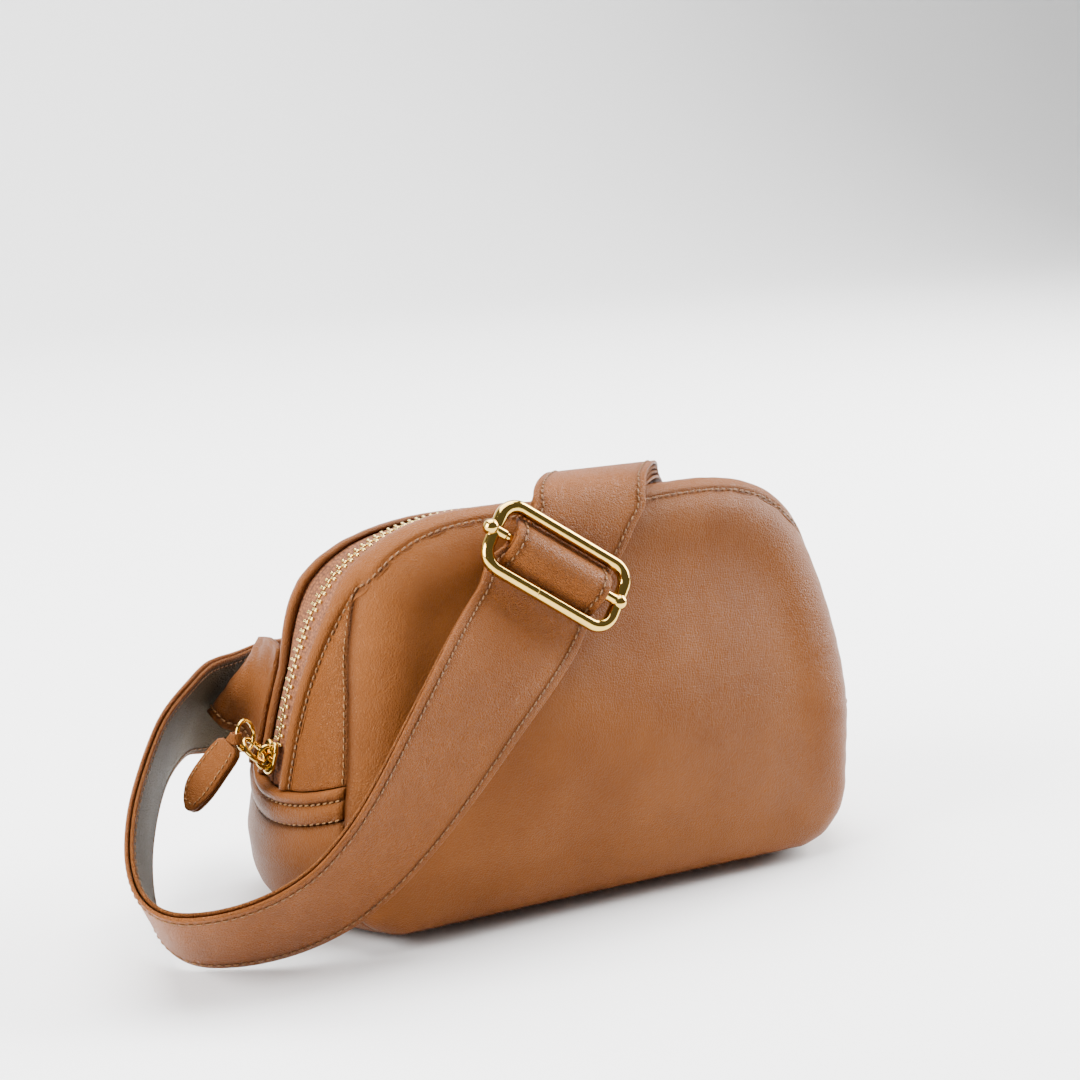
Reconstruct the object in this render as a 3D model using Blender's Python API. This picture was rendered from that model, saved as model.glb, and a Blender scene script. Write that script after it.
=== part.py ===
"""Sling bag: a soft half-moon leather bag with a long zip, two rear wings and one wide strap.

Frame: X across the bag (right is +X), the front panel faces -Y, Z is up.
The origin is the centre of the flat base, on the floor.
All the driving sizes below are millimetres; the meshes are written in metres.
"""

import math

import bmesh
import bpy
import numpy as np

MM = 0.001
GAP = 0.4

# Bag outline, seen from the front: a soft arch over rounded lower corners.
HALF_WIDTH = 95.0
SEAM_TOP = 131.0
ARCH_FOOT = 8.0
SHOULDER_LEFT = 4.0
SHOULDER_RIGHT = 5.2
SEAM_BOTTOM = 3.0
LOWER_CORNER = 20.0
LOWER_CORNER_TOP = 40.0
OUTLINE_CENTRE = 62.0

# Depth of the seams from the middle plane, and how the zip ridge stands out from them.
BASE_HALF_DEPTH = 34.0
TOP_HALF_DEPTH = 12.0
TAPER_START = 45.0
TAPER_END = 125.0
RIDGE_AT_BAND = 10.5
RIDGE_START = 50.0
RIDGE_END = 125.0
RIDGE_AT_TOP = -0.6
REAR_DROP = 6.0
BASE_BULGE = 13.0
BASE_PRESS = 2.5
BAND_SAG = 8.0

# Leather and fabric thicknesses.
PANEL_THICK = 1.8
WING_THICK = 1.8
GUSSET_THICK = 1.8
STRIP_THICK = 1.8
STRIP_LIFT = 0.9
TAPE_THICK = 0.7
TAPE_LIFT = -1.6
LINING_THICK = 0.8
LINING_GAP = 0.8
BOARD_THICK = 1.6

# Puffing of the two faces.
FRONT_ROLL = 9.0
FRONT_ROLL_DEPTH = 6.0
FRONT_DOME = 7.0
BACK_DOME = 2.5

# Zip.
TOOTH_THICK = 1.5
TAPE_INNER = 2.0
TAPE_OUTER = 9.0
STRIP_INNER = 5.5
STRIP_OUTER = 11.5
BAND_TOP = 54.0
BAND_BOTTOM = 43.5
SLIDER_ROOM = 9.0

# Strap.
STRAP_WIDTH = 39.5
PLY = 1.2
PLY_GAP = 0.5
STRAP_THICK = 2.0 * PLY + PLY_GAP

# Buckle.
BUCKLE_CENTRE = (-19.8, -33.2, 113.5)
BUCKLE_LONG = (0.816, -0.198, -0.545)
BUCKLE_UP = (0.579, 0.282, 0.766)
BUCKLE_HALF_LONG = 23.9
BUCKLE_HALF_SHORT = 10.9
BUCKLE_CORNER = 6.0
BUCKLE_BAR = 2.15
CENTRE_BAR = 1.3

# Zip pull: oval link, round ring, and the leather tab's hanging direction and broad side.
LINK_HALF_LONG = 4.6
LINK_HALF_WIDE = 2.9
PULL_RING_RADIUS = 3.7
PULL_RING_FACING = (-0.506, 0.855, -0.11)
TAB_HANG = (-0.47, 0.16, -0.868)
TAB_FACING = (-0.49, -0.84, 0.22)

# Rear ring on the right wing; its long bars lean outward with the pull of the strap.
RING_CENTRE = (72.0, 58.2, 67.2)
RING_PULL = (0.669, 0.0, -0.743)
RING_HALF_X = 3.9
RING_HALF_Z = 22.0
RING_BAR = 1.5


def clean_scene():
    for obj in list(bpy.data.objects):
        bpy.data.objects.remove(obj, do_unlink=True)


def smooth(low, high, value):
    t = np.clip((np.asarray(value, float) - low) / (high - low), 0.0, 1.0)
    return t * t * (3.0 - 2.0 * t)


def unit(vector):
    vector = np.asarray(vector, float)
    return vector / np.linalg.norm(vector, axis=-1, keepdims=True)


# ---------------------------------------------------------------- outline


def arch_side(exponent, sign, count):
    """Half of the arch, from the widest point up to the top centre."""
    start = (LOWER_CORNER_TOP - ARCH_FOOT) / (SEAM_TOP - ARCH_FOOT)
    angle = np.linspace(math.asin(start ** (exponent / 2.0)), math.pi / 2.0, count)
    across = HALF_WIDTH * np.cos(angle) ** (2.0 / exponent)
    height = ARCH_FOOT + (SEAM_TOP - ARCH_FOOT) * np.sin(angle) ** (2.0 / exponent)
    return np.c_[sign * across, height]


def make_outline():
    """Closed seam outline from the bottom centre, up the left side, over and down the right."""
    corner = np.linspace(math.pi / 2.0, 0.0, 24)
    centre = HALF_WIDTH - LOWER_CORNER
    low = np.c_[centre + LOWER_CORNER * np.cos(corner), SEAM_BOTTOM + LOWER_CORNER * (1.0 - np.sin(corner))]
    left_low = np.r_[[[0.0, SEAM_BOTTOM]], low * [-1.0, 1.0]]
    right_low = np.r_[[[0.0, SEAM_BOTTOM]], low][::-1]
    left = arch_side(SHOULDER_LEFT, -1.0, 400)
    right = arch_side(SHOULDER_RIGHT, 1.0, 400)[::-1][1:]
    return np.r_[left_low, left, right, right_low]


OUTLINE = make_outline()
OUTLINE_LENGTH = np.r_[0.0, np.cumsum(np.linalg.norm(np.diff(OUTLINE, axis=0), axis=1))]
PERIMETER = OUTLINE_LENGTH[-1]


def outline_at(length):
    length = np.mod(length, PERIMETER)
    return np.stack([np.interp(length, OUTLINE_LENGTH, OUTLINE[:, k]) for k in (0, 1)], axis=-1)


def outline_normal(length):
    step = outline_at(length + 3.0) - outline_at(length - 3.0)
    step = unit(step)
    return np.stack([-step[..., 1], step[..., 0]], axis=-1)


def length_at_height(height, side):
    """Distance along the outline at which one side passes a height."""
    peak = int(np.argmax(OUTLINE[:, 1]))
    if side < 0:
        return float(np.interp(height, OUTLINE[:peak, 1], OUTLINE_LENGTH[:peak]))
    return float(np.interp(-height, -OUTLINE[peak:, 1], OUTLINE_LENGTH[peak:]))


# ---------------------------------------------------------------- body surface


def half_depth(height):
    taper = smooth(TAPER_START, TAPER_END, height)
    return BASE_HALF_DEPTH + (TOP_HALF_DEPTH - BASE_HALF_DEPTH) * taper


def rear_drop(height, v):
    """The rear top sits lower than the front top."""
    return REAR_DROP * smooth(70.0, SEAM_TOP, height) * ((1.0 + v) / 2.0) ** 2


def ridge_offset(length):
    """How far the middle of the side surface stands out from the seams."""
    height = outline_at(length)[..., 1]
    down = -outline_normal(length)[..., 1]
    side = RIDGE_AT_BAND * (1.0 - np.clip((height - RIDGE_START) / (RIDGE_END - RIDGE_START), 0.0, 1.0))
    side = side + (BASE_BULGE - RIDGE_AT_BAND) * (1.0 - smooth(28.0, 50.0, height))
    top = RIDGE_AT_TOP * smooth(RIDGE_END - 2.0, SEAM_TOP, height)
    under = smooth(0.25, 1.0, down)
    return (side + top) * (1.0 - under) + (SEAM_BOTTOM + BASE_PRESS) * under


def body_raw(length, v):
    """Point of the side surface; v runs from -1 at the front seam to 1 at the rear seam."""
    seam = outline_at(length)
    normal = outline_normal(length)
    height = seam[..., 1]
    rise = 1.0 - v * v
    out = ridge_offset(length) * rise
    x = seam[..., 0] + normal[..., 0] * out
    z = seam[..., 1] + normal[..., 1] * out
    sag = smooth(14.0, 40.0, height) * (1.0 - smooth(60.0, 112.0, height))
    z = z - BAND_SAG * sag * rise - rear_drop(height, v)
    z = np.where(normal[..., 1] < -0.5, np.maximum(z, 0.0), z)
    return np.stack([x, v * half_depth(height), z], axis=-1)


def body_point(length, v, lift=0.0):
    """Side surface moved out along its own normal."""
    length = np.asarray(length, float)
    v = np.asarray(v, float)
    length, v = np.broadcast_arrays(length, v)
    along = body_raw(length + 0.5, v) - body_raw(length - 0.5, v)
    across = body_raw(length, v + 0.02) - body_raw(length, v - 0.02)
    normal = unit(np.cross(along, across))
    middle = np.array([0.0, 0.0, OUTLINE_CENTRE])
    point = body_raw(length, v)
    flip = np.sign(np.sum((point - middle) * normal, axis=-1, keepdims=True))
    return point + normal * flip * lift


def half_arc(length):
    """Surface distance from the ridge to a seam."""
    v = np.linspace(0.0, 1.0, 9)
    pts = body_raw(np.asarray(length, float)[..., None], v)
    return np.sum(np.linalg.norm(np.diff(pts, axis=-2), axis=-1), axis=-1)


def face_point(rho, length, side, dome, lift=0.0):
    """Point of the puffed front (side -1) or back (side 1) face; rho is 1 on the seam."""

    def raw(r, s):
        seam = outline_at(s)
        centre = np.array([0.0, OUTLINE_CENTRE])
        flat = centre + (seam - centre) * np.asarray(r)[..., None]
        reach = np.linalg.norm(seam - centre, axis=-1)
        inward = np.clip((1.0 - r) * reach / FRONT_ROLL, 0.0, 1.0)
        roll = FRONT_ROLL_DEPTH * np.sqrt(np.clip(1.0 - (1.0 - inward) ** 2, 0.0, 1.0))
        depth = half_depth(flat[..., 1]) + roll + dome * (1.0 - np.asarray(r) ** 2)
        tall = flat[..., 1] - rear_drop(flat[..., 1], side)
        return np.stack([flat[..., 0], side * depth, tall], axis=-1)

    rho = np.asarray(rho, float)
    length = np.asarray(length, float)
    rho, length = np.broadcast_arrays(rho, length)
    point = raw(rho, length)
    if lift == 0.0:
        return point
    inner = np.clip(rho - 0.004, 0.02, 1.0)
    outer = np.clip(rho + 0.004, 0.02, 1.0)
    radial = raw(outer, length) - raw(inner, length)
    around = raw(np.maximum(rho, 0.02), length + 0.5) - raw(np.maximum(rho, 0.02), length - 0.5)
    normal = unit(np.cross(radial, around))
    facing = np.array([0.0, side, 0.0])
    outward = point - np.array([0.0, 0.0, OUTLINE_CENTRE])
    flip = np.sign(np.sum(normal * (unit(outward) + facing), axis=-1, keepdims=True))
    return point + normal * flip * lift


# ---------------------------------------------------------------- mesh helpers


def material(name, colour, metallic=0.0, roughness=0.5):
    mat = bpy.data.materials.get(name)
    if mat is None:
        mat = bpy.data.materials.new(name)
        mat.use_nodes = True
        shader = mat.node_tree.nodes["Principled BSDF"]
        shader.inputs["Base Color"].default_value = (*colour, 1.0)
        shader.inputs["Metallic"].default_value = metallic
        shader.inputs["Roughness"].default_value = roughness
        mat.diffuse_color = (*colour, 1.0)
    return mat


def add_object(name, verts, faces, mat, parent=None):
    """Make one named object; its faces are turned to point outwards."""
    verts = np.asarray(verts, float)
    origin = np.zeros(3)
    if parent is not None:
        origin = np.array(parent.location) / MM
    mesh = bpy.data.meshes.new(name)
    mesh.from_pydata([tuple(v) for v in (verts - origin) * MM], [], faces)
    mesh.validate()
    mesh.update()
    obj = bpy.data.objects.new(name, mesh)
    bpy.context.scene.collection.objects.link(obj)
    mesh.materials.append(mat)
    work = bmesh.new()
    work.from_mesh(mesh)
    bmesh.ops.recalc_face_normals(work, faces=work.faces)
    if work.calc_volume(signed=True) < 0.0:
        bmesh.ops.reverse_faces(work, faces=work.faces)
    work.to_mesh(mesh)
    work.free()
    if parent is not None:
        obj.parent = parent
    return obj


def grid_faces(rows, cols, start=0, wrap=False, flip=False):
    faces = []
    last = cols if wrap else cols - 1
    for i in range(rows - 1):
        for j in range(last):
            k = (j + 1) % cols
            near = start + i * cols
            far = near + cols
            quad = (near + j, near + k, far + k, far + j)
            faces.append(quad[::-1] if flip else quad)
    return faces


def sheet_solid(name, outer, inner, mat, parent=None):
    """Closed solid between two matching open grids."""
    rows, cols = outer.shape[:2]
    count = rows * cols
    faces = grid_faces(rows, cols) + grid_faces(rows, cols, count, flip=True)
    edge = list(range(cols))
    edge += [i * cols + cols - 1 for i in range(1, rows)]
    edge += [(rows - 1) * cols + j for j in range(cols - 2, -1, -1)]
    edge += [i * cols for i in range(rows - 2, 0, -1)]
    for a, b in zip(edge, edge[1:] + edge[:1]):
        faces.append((b, a, count + a, count + b))
    verts = np.r_[outer.reshape(-1, 3), inner.reshape(-1, 3)]
    return add_object(name, verts, faces, mat, parent)


def dish_solid(name, outer, inner, mat, parent=None):
    """Closed solid between two matching round grids; row 0 is the rim, the last row the centre ring."""
    rows, cols = outer.shape[:2]
    count = rows * cols
    faces = grid_faces(rows, cols, wrap=True) + grid_faces(rows, cols, count, wrap=True, flip=True)
    verts = np.r_[outer.reshape(-1, 3), inner.reshape(-1, 3)]
    tips = np.array([outer[-1].mean(axis=0), inner[-1].mean(axis=0)])
    verts = np.r_[verts, tips]
    base = (rows - 1) * cols
    for j in range(cols):
        k = (j + 1) % cols
        faces.append((base + j, base + k, 2 * count))
        faces.append((count + base + k, count + base + j, 2 * count + 1))
        faces.append((k, j, count + j, count + k))
    return add_object(name, verts, faces, mat, parent)


def frames_along(path, closed=False, up=(0.0, 0.0, 1.0)):
    """Tangent and two cross directions that turn as little as possible."""
    if closed:
        tangent = unit(np.roll(path, -1, axis=0) - np.roll(path, 1, axis=0))
    else:
        tangent = unit(np.gradient(path, axis=0))
    side = np.zeros_like(path)
    previous = np.asarray(up, float)
    for i, t in enumerate(tangent):
        previous = previous - t * np.dot(previous, t)
        previous = previous / np.linalg.norm(previous)
        side[i] = previous
    return tangent, side, np.cross(tangent, side)


def tube_mesh(path, radius, sides=8, closed=False, up=(0.0, 0.0, 1.0), squash=1.0):
    path = np.asarray(path, float)
    _, a, b = frames_along(path, closed, up)
    turn = np.linspace(0.0, 2.0 * math.pi, sides, endpoint=False)
    radius = np.broadcast_to(np.asarray(radius, float), (len(path),))[:, None, None]
    ring = np.cos(turn)[None, :, None] * a[:, None] + squash * np.sin(turn)[None, :, None] * b[:, None]
    verts = path[:, None] + radius * ring
    rows = len(path)
    if closed:
        verts = np.concatenate([verts, verts[:1]])
        faces = []
        for i in range(rows):
            for j in range(sides):
                k = (j + 1) % sides
                n = (i + 1) % rows
                faces.append((i * sides + j, i * sides + k, n * sides + k, n * sides + j))
        return verts[:rows].reshape(-1, 3), faces
    faces = grid_faces(rows, sides, wrap=True)
    faces.append(tuple(range(sides)))
    faces.append(tuple(range(rows * sides - 1, (rows - 1) * sides - 1, -1)))
    return verts.reshape(-1, 3), faces


def tube(name, path, radius, mat, parent=None, **options):
    verts, faces = tube_mesh(path, radius, **options)
    return add_object(name, verts, faces, mat, parent)


def spline(points, count):
    """Smooth curve through the points, sampled evenly along its length."""
    points = np.asarray(points, float)
    span = np.r_[0.0, np.cumsum(np.linalg.norm(np.diff(points[:, :3], axis=0), axis=1) ** 0.6)]
    slope = np.gradient(points, span, axis=0)
    fine = np.linspace(0.0, span[-1], 60 * len(points))
    index = np.clip(np.searchsorted(span, fine, side="right") - 1, 0, len(points) - 2)
    width = (span[index + 1] - span[index])[:, None]
    t = ((fine - span[index]) / width[:, 0])[:, None]
    h00 = 2 * t**3 - 3 * t**2 + 1
    h10 = t**3 - 2 * t**2 + t
    h01 = -2 * t**3 + 3 * t**2
    h11 = t**3 - t**2
    dense = h00 * points[index] + h10 * width * slope[index]
    dense += h01 * points[index + 1] + h11 * width * slope[index + 1]
    length = np.r_[0.0, np.cumsum(np.linalg.norm(np.diff(dense[:, :3], axis=0), axis=1))]
    even = np.linspace(0.0, length[-1], count)
    return np.stack([np.interp(even, length, dense[:, k]) for k in range(points.shape[1])], axis=1)


def ribbon_rows(centres, rulings, width, low, high, columns=5):
    """Outer and inner grids of a flat band; low and high are distances along its face normal.

    A ruling that isn't square to the centre line is lengthened, so the band keeps its width.
    """
    tangent = unit(np.gradient(centres, axis=0))
    rulings = unit(rulings)
    crossed = np.cross(tangent, rulings)
    square = np.linalg.norm(crossed, axis=1, keepdims=True)
    normal = crossed / square
    across = np.linspace(-0.5, 0.5, columns)[None, :, None] * width / square[:, None]
    middle = centres[:, None] + rulings[:, None] * across
    low = np.broadcast_to(np.asarray(low, float), (len(centres),))[:, None, None]
    high = np.broadcast_to(np.asarray(high, float), (len(centres),))[:, None, None]
    return middle + normal[:, None] * high, middle + normal[:, None] * low


def ribbon(name, centres, rulings, width, low, high, mat, parent=None, columns=5):
    outer, inner = ribbon_rows(centres, rulings, width, low, high, columns)
    return sheet_solid(name, outer, inner, mat, parent)


def pivot(name, place):
    empty = bpy.data.objects.new(name, None)
    empty.location = [c * MM for c in place]
    bpy.context.scene.collection.objects.link(empty)
    return empty


# ---------------------------------------------------------------- materials

LEATHER = material("tan_leather", (0.36, 0.165, 0.085), 0.0, 0.45)
STRAP_LEATHER = material("strap_leather", (0.40, 0.19, 0.10), 0.0, 0.45)
STRAP_BACK = material("strap_backing", (0.14, 0.115, 0.085), 0.0, 0.7)
LINING = material("lining_fabric", (0.20, 0.13, 0.09), 0.0, 0.85)
TAPE = material("zip_tape", (0.38, 0.19, 0.11), 0.0, 0.8)
GOLD = material("gold_metal", (0.72, 0.52, 0.20), 1.0, 0.22)
BOARD = material("base_board_card", (0.10, 0.08, 0.06), 0.0, 0.9)


# ---------------------------------------------------------------- bag body


def build_faces():
    fine = np.array([1.0, 0.99, 0.97, 0.945, 0.91, 0.86, 0.75, 0.55, 0.3, 0.1])
    plain = np.array([1.0, 0.98, 0.95, 0.9, 0.8, 0.55, 0.25])
    faces = (("front_panel", -1.0, FRONT_DOME, fine, 80), ("back_panel", 1.0, BACK_DOME, plain, 60))
    for name, side, dome, rho, count in faces:
        samples = np.linspace(0.0, PERIMETER, count, endpoint=False)
        outer = face_point(rho[:, None], samples[None, :], side, dome)
        inner = face_point(rho[:, None], samples[None, :], side, dome, -PANEL_THICK)
        dish_solid(name, outer, inner, LEATHER)
    soft = np.linspace(0.0, PERIMETER, 32, endpoint=False)
    soft_rho = np.array([0.92, 0.84, 0.6, 0.2])
    lift = -(PANEL_THICK + LINING_GAP)
    for name, side, dome in (("lining_front", -1.0, FRONT_DOME), ("lining_back", 1.0, BACK_DOME)):
        outer = face_point(soft_rho[:, None], soft[None, :], side, dome, lift)
        inner = face_point(soft_rho[:, None], soft[None, :], side, dome, lift - LINING_THICK)
        dish_solid(name, outer, inner, LINING)


def side_sheet(name, lengths, v_low, v_high, lift, thick, mat, columns):
    """Piece of the side surface between two cross positions given per length."""
    lengths = np.asarray(lengths, float)
    mix = np.linspace(0.0, 1.0, columns)[None, :]
    v = v_low[:, None] * (1.0 - mix) + v_high[:, None] * mix
    grid = np.broadcast_to(lengths[:, None], v.shape)
    outer = body_point(grid, v, lift)
    inner = body_point(grid, v, lift - thick)
    return sheet_solid(name, outer, inner, mat)


def seam_limit(lengths):
    return 1.0 - GAP / half_arc(lengths)


def build_sides():
    for word, side in (("left", -1.0), ("right", 1.0)):
        low = length_at_height(BAND_BOTTOM + GAP, side)
        high = length_at_height(BAND_TOP, side)
        lengths = np.linspace(low, high, 5)
        edge = seam_limit(lengths)
        side_sheet("side_band_" + word, lengths, -edge, edge, 0.6, GUSSET_THICK + 0.4, LEATHER, 13)
        foot = length_at_height(BAND_TOP + GAP, side)
        apex = length_at_height(113.0, side)
        lengths = np.linspace(foot, apex, 14)
        arc = half_arc(lengths)
        inner_v = np.minimum((STRIP_OUTER + GAP) / arc, 1.0)
        limit = seam_limit(lengths)
        inner_v = np.minimum(inner_v, limit - 0.7 / arc)
        side_sheet("side_wedge_front_" + word, lengths, -limit, -inner_v, 0.0, GUSSET_THICK, LEATHER, 4)
        side_sheet("side_wedge_rear_" + word, lengths, inner_v, limit, 0.0, GUSSET_THICK, LEATHER, 4)
    start = length_at_height(BAND_BOTTOM, 1.0)
    end = length_at_height(BAND_BOTTOM, -1.0) + PERIMETER
    lengths = np.linspace(start, end, 53)
    edge = seam_limit(lengths)
    side_sheet("base_gusset", lengths, -edge, edge, 0.0, GUSSET_THICK, LEATHER, 11)
    arch_start = length_at_height(BAND_TOP + GAP, -1.0)
    arch_end = length_at_height(BAND_TOP + GAP, 1.0)
    lengths = np.linspace(arch_start, arch_end, 65)
    arc = half_arc(lengths)
    near = STRIP_INNER / arc
    far = np.minimum(STRIP_OUTER / arc, seam_limit(lengths))
    side_sheet("zip_strip_front", lengths, -far, -near, STRIP_LIFT, STRIP_THICK, LEATHER, 4)
    side_sheet("zip_strip_rear", lengths, near, far, STRIP_LIFT, STRIP_THICK, LEATHER, 4)
    near = TAPE_INNER / arc
    far = np.minimum(TAPE_OUTER / arc, seam_limit(lengths) - 1.2 / arc)
    side_sheet("zip_tape_front", lengths, -far, -near, TAPE_LIFT, TAPE_THICK, TAPE, 2)
    side_sheet("zip_tape_rear", lengths, near, far, TAPE_LIFT, TAPE_THICK, TAPE, 2)


def build_base_board():
    reach = np.array([[-68.0, -21.0], [68.0, -21.0], [68.0, 21.0], [-68.0, 21.0]])
    low = GUSSET_THICK + 0.9
    verts = []
    for z in (low, low + BOARD_THICK):
        for x, y in reach:
            verts.append((x, y, z))
    faces = [(3, 2, 1, 0), (4, 5, 6, 7), (0, 1, 5, 4), (1, 2, 6, 5), (2, 3, 7, 6), (3, 0, 4, 7)]
    add_object("base_board", np.array(verts), faces, BOARD)


def build_pocket():
    """Slip pocket standing off the back lining, open at its top."""
    rho = np.array([0.62, 0.4, 0.12])
    samples = np.linspace(0.0, PERIMETER, 24, endpoint=False)
    lift = -(PANEL_THICK + LINING_GAP + LINING_THICK + 1.2)
    outer = face_point(rho[:, None], samples[None, :], 1.0, BACK_DOME, lift)
    inner = face_point(rho[:, None], samples[None, :], 1.0, BACK_DOME, lift - LINING_THICK)
    dish_solid("inner_pocket", outer, inner, LINING)


# ---------------------------------------------------------------- zip


def zip_lengths():
    start = length_at_height(BAND_TOP + GAP, -1.0) + SLIDER_ROOM
    end = length_at_height(BAND_TOP + GAP, 1.0) - 3.0
    return start, end


def build_teeth():
    start, end = zip_lengths()
    lengths = np.linspace(start + 4.0, end - 3.0, 65)
    arc = half_arc(lengths)
    for name, side in (("zip_teeth_front", -1.0), ("zip_teeth_rear", 1.0)):
        low = side * 0.15 / arc
        high = side * (TAPE_INNER - 0.3) / arc
        first = np.minimum(low, high)
        last = np.maximum(low, high)
        side_sheet(name, lengths, first, last, TAPE_LIFT + 1.1, TOOTH_THICK, GOLD, 2)
    ring = np.linspace(end - 2.2, end - 0.2, 2)
    arc = half_arc(ring)
    side_sheet("zip_end_stop", ring, -1.6 / arc, 1.6 / arc, TAPE_LIFT + 1.3, 1.7, GOLD, 4)


def zip_frame(length):
    """Point on the zip ridge with its along, across and outward directions."""
    point = body_point(length, 0.0)
    middle = np.asarray(0.0)
    along = unit(body_raw(np.asarray(length + 2.0), middle) - body_raw(np.asarray(length - 2.0), middle))
    across = np.array([0.0, 1.0, 0.0])
    outward = np.cross(across, along)
    if outward[0] > 0.0:
        outward = -outward
    return point, along, across, outward


def slider_circle():
    """Circle in the middle plane that follows the first stretch of the zip."""
    start, _ = zip_lengths()
    pts = body_raw(np.linspace(start, start + 42.0, 12), np.zeros(12))[:, [0, 2]]
    matrix = np.c_[2.0 * pts, np.ones(len(pts))]
    solved = np.linalg.lstsq(matrix, np.sum(pts**2, axis=1), rcond=None)[0]
    return np.array([solved[0], 0.0, solved[1]])


def build_slider():
    start, _ = zip_lengths()
    place, along, across, outward = zip_frame(start - 1.0)
    hub = pivot("slider_pivot", slider_circle())
    outline = [(-5.0, -2.2), (-3.2, -3.9), (2.4, -4.3), (5.0, -3.2)]
    outline += [(a, -b) for a, b in outline[::-1]]
    lift = 0.9
    verts = []
    for level in (lift, lift + 1.5):
        for a, b in outline:
            verts.append(place + along * a + across * b + outward * level)
    count = len(outline)
    faces = [tuple(range(count))[::-1], tuple(range(count, 2 * count))]
    for j in range(count):
        k = (j + 1) % count
        faces.append((j, k, count + k, count + j))
    add_object("slider_body", np.array(verts), faces, GOLD, hub)
    path = []
    for t in np.linspace(0.0, math.pi, 9):
        path.append(place + along * 3.4 * math.cos(t) + outward * (lift + 1.5 + 0.9 + 2.6 * math.sin(t)))
    path = [path[0] - outward * 0.55] + path + [path[-1] - outward * 0.55]
    tube("slider_bridge", path, 0.75, GOLD, hub, sides=8, up=(0.0, 1.0, 0.0), squash=1.0)
    return hub, place + outward * (lift + 3.0), along, across, outward


def ring_path(centre, a, b, half_a, half_b, count):
    turn = np.linspace(0.0, 2.0 * math.pi, count, endpoint=False)
    return centre + np.outer(np.cos(turn) * half_a, a) + np.outer(np.sin(turn) * half_b, b)


def build_pull(bridge):
    """Oval link through the bridge, a round ring through the link, and the leather tab on the ring."""
    _, place, along, across, outward = bridge
    link_hub = pivot("pull_link_pivot", place)
    direction = unit(outward * 0.45 + along)
    centre = place + direction * (LINK_HALF_LONG - 0.2)
    tube("pull_link", ring_path(centre, direction, across, LINK_HALF_LONG, LINK_HALF_WIDE, 20), 0.8, GOLD,
         link_hub, closed=True, up=tuple(np.cross(direction, across)), sides=8)
    tip = centre + direction * LINK_HALF_LONG
    ring_normal = unit(np.array(PULL_RING_FACING))
    outer = unit(outward - ring_normal * np.dot(outward, ring_normal))
    upper = np.cross(ring_normal, outer)
    ring_centre = tip + outer * 1.9
    ring_hub = pivot("pull_ring_pivot", ring_centre)
    tube("pull_ring", ring_path(ring_centre, outer, upper, PULL_RING_RADIUS, PULL_RING_RADIUS, 20), 0.6, GOLD,
         ring_hub, closed=True, up=tuple(ring_normal), sides=8)
    hang = unit(np.array(TAB_HANG))
    spoke = unit(outer * 0.75 + unit(hang - ring_normal * np.dot(hang, ring_normal)))
    return ring_hub, ring_centre + spoke * PULL_RING_RADIUS, np.cross(ring_normal, spoke)


def build_tab(ring):
    """Leaf-shaped leather tab of two layers with a narrow neck folded over the ring."""
    hub, hold, tangent = ring
    hang = unit(np.array(TAB_HANG))
    facing = np.array(TAB_FACING)
    face = unit(facing - hang * np.dot(facing, hang))
    wide = np.cross(face, hang)
    if np.dot(wide, tangent) < 0.0:
        tangent = -tangent
    top = hold + hang * 3.4
    stations = [(0.0, 3.6), (1.6, 4.6), (7.0, 5.2), (13.0, 5.7), (17.0, 5.3), (20.6, 3.6), (23.6, 1.2)]
    for name, low in (("pull_tab_front", 0.15), ("pull_tab_back", -1.75)):
        outer = []
        inner = []
        for down, half in stations:
            row = [top + hang * down + wide * half * s for s in np.linspace(-1.0, 1.0, 5)]
            outer.append([p + face * (low + 1.6) for p in row])
            inner.append([p + face * low for p in row])
        sheet_solid(name, np.array(outer), np.array(inner), LEATHER, hub)
    drop = unit(hang - tangent * np.dot(hang, tangent))
    aside = np.cross(tangent, drop)
    if np.dot(aside, face) < 0.0:
        aside = -aside
    loop = []
    rulings = []
    for t in np.linspace(-0.3 * math.pi, 1.3 * math.pi, 13):
        loop.append(hold - drop * 1.6 * math.sin(t) + aside * 1.6 * math.cos(t))
        rulings.append(tangent)
    ends = [hold + hang * 2.3 + face * 0.75, hold + hang * 2.3 - face * 0.75]
    loop = [ends[0]] + loop + [ends[1]]
    rulings = [tangent + wide] + rulings + [tangent + wide]
    ribbon("pull_tab_neck", np.array(loop), np.array(rulings), 3.2, -0.45, 0.45, LEATHER, hub, columns=2)


# ---------------------------------------------------------------- wings, strap and buckle


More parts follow.
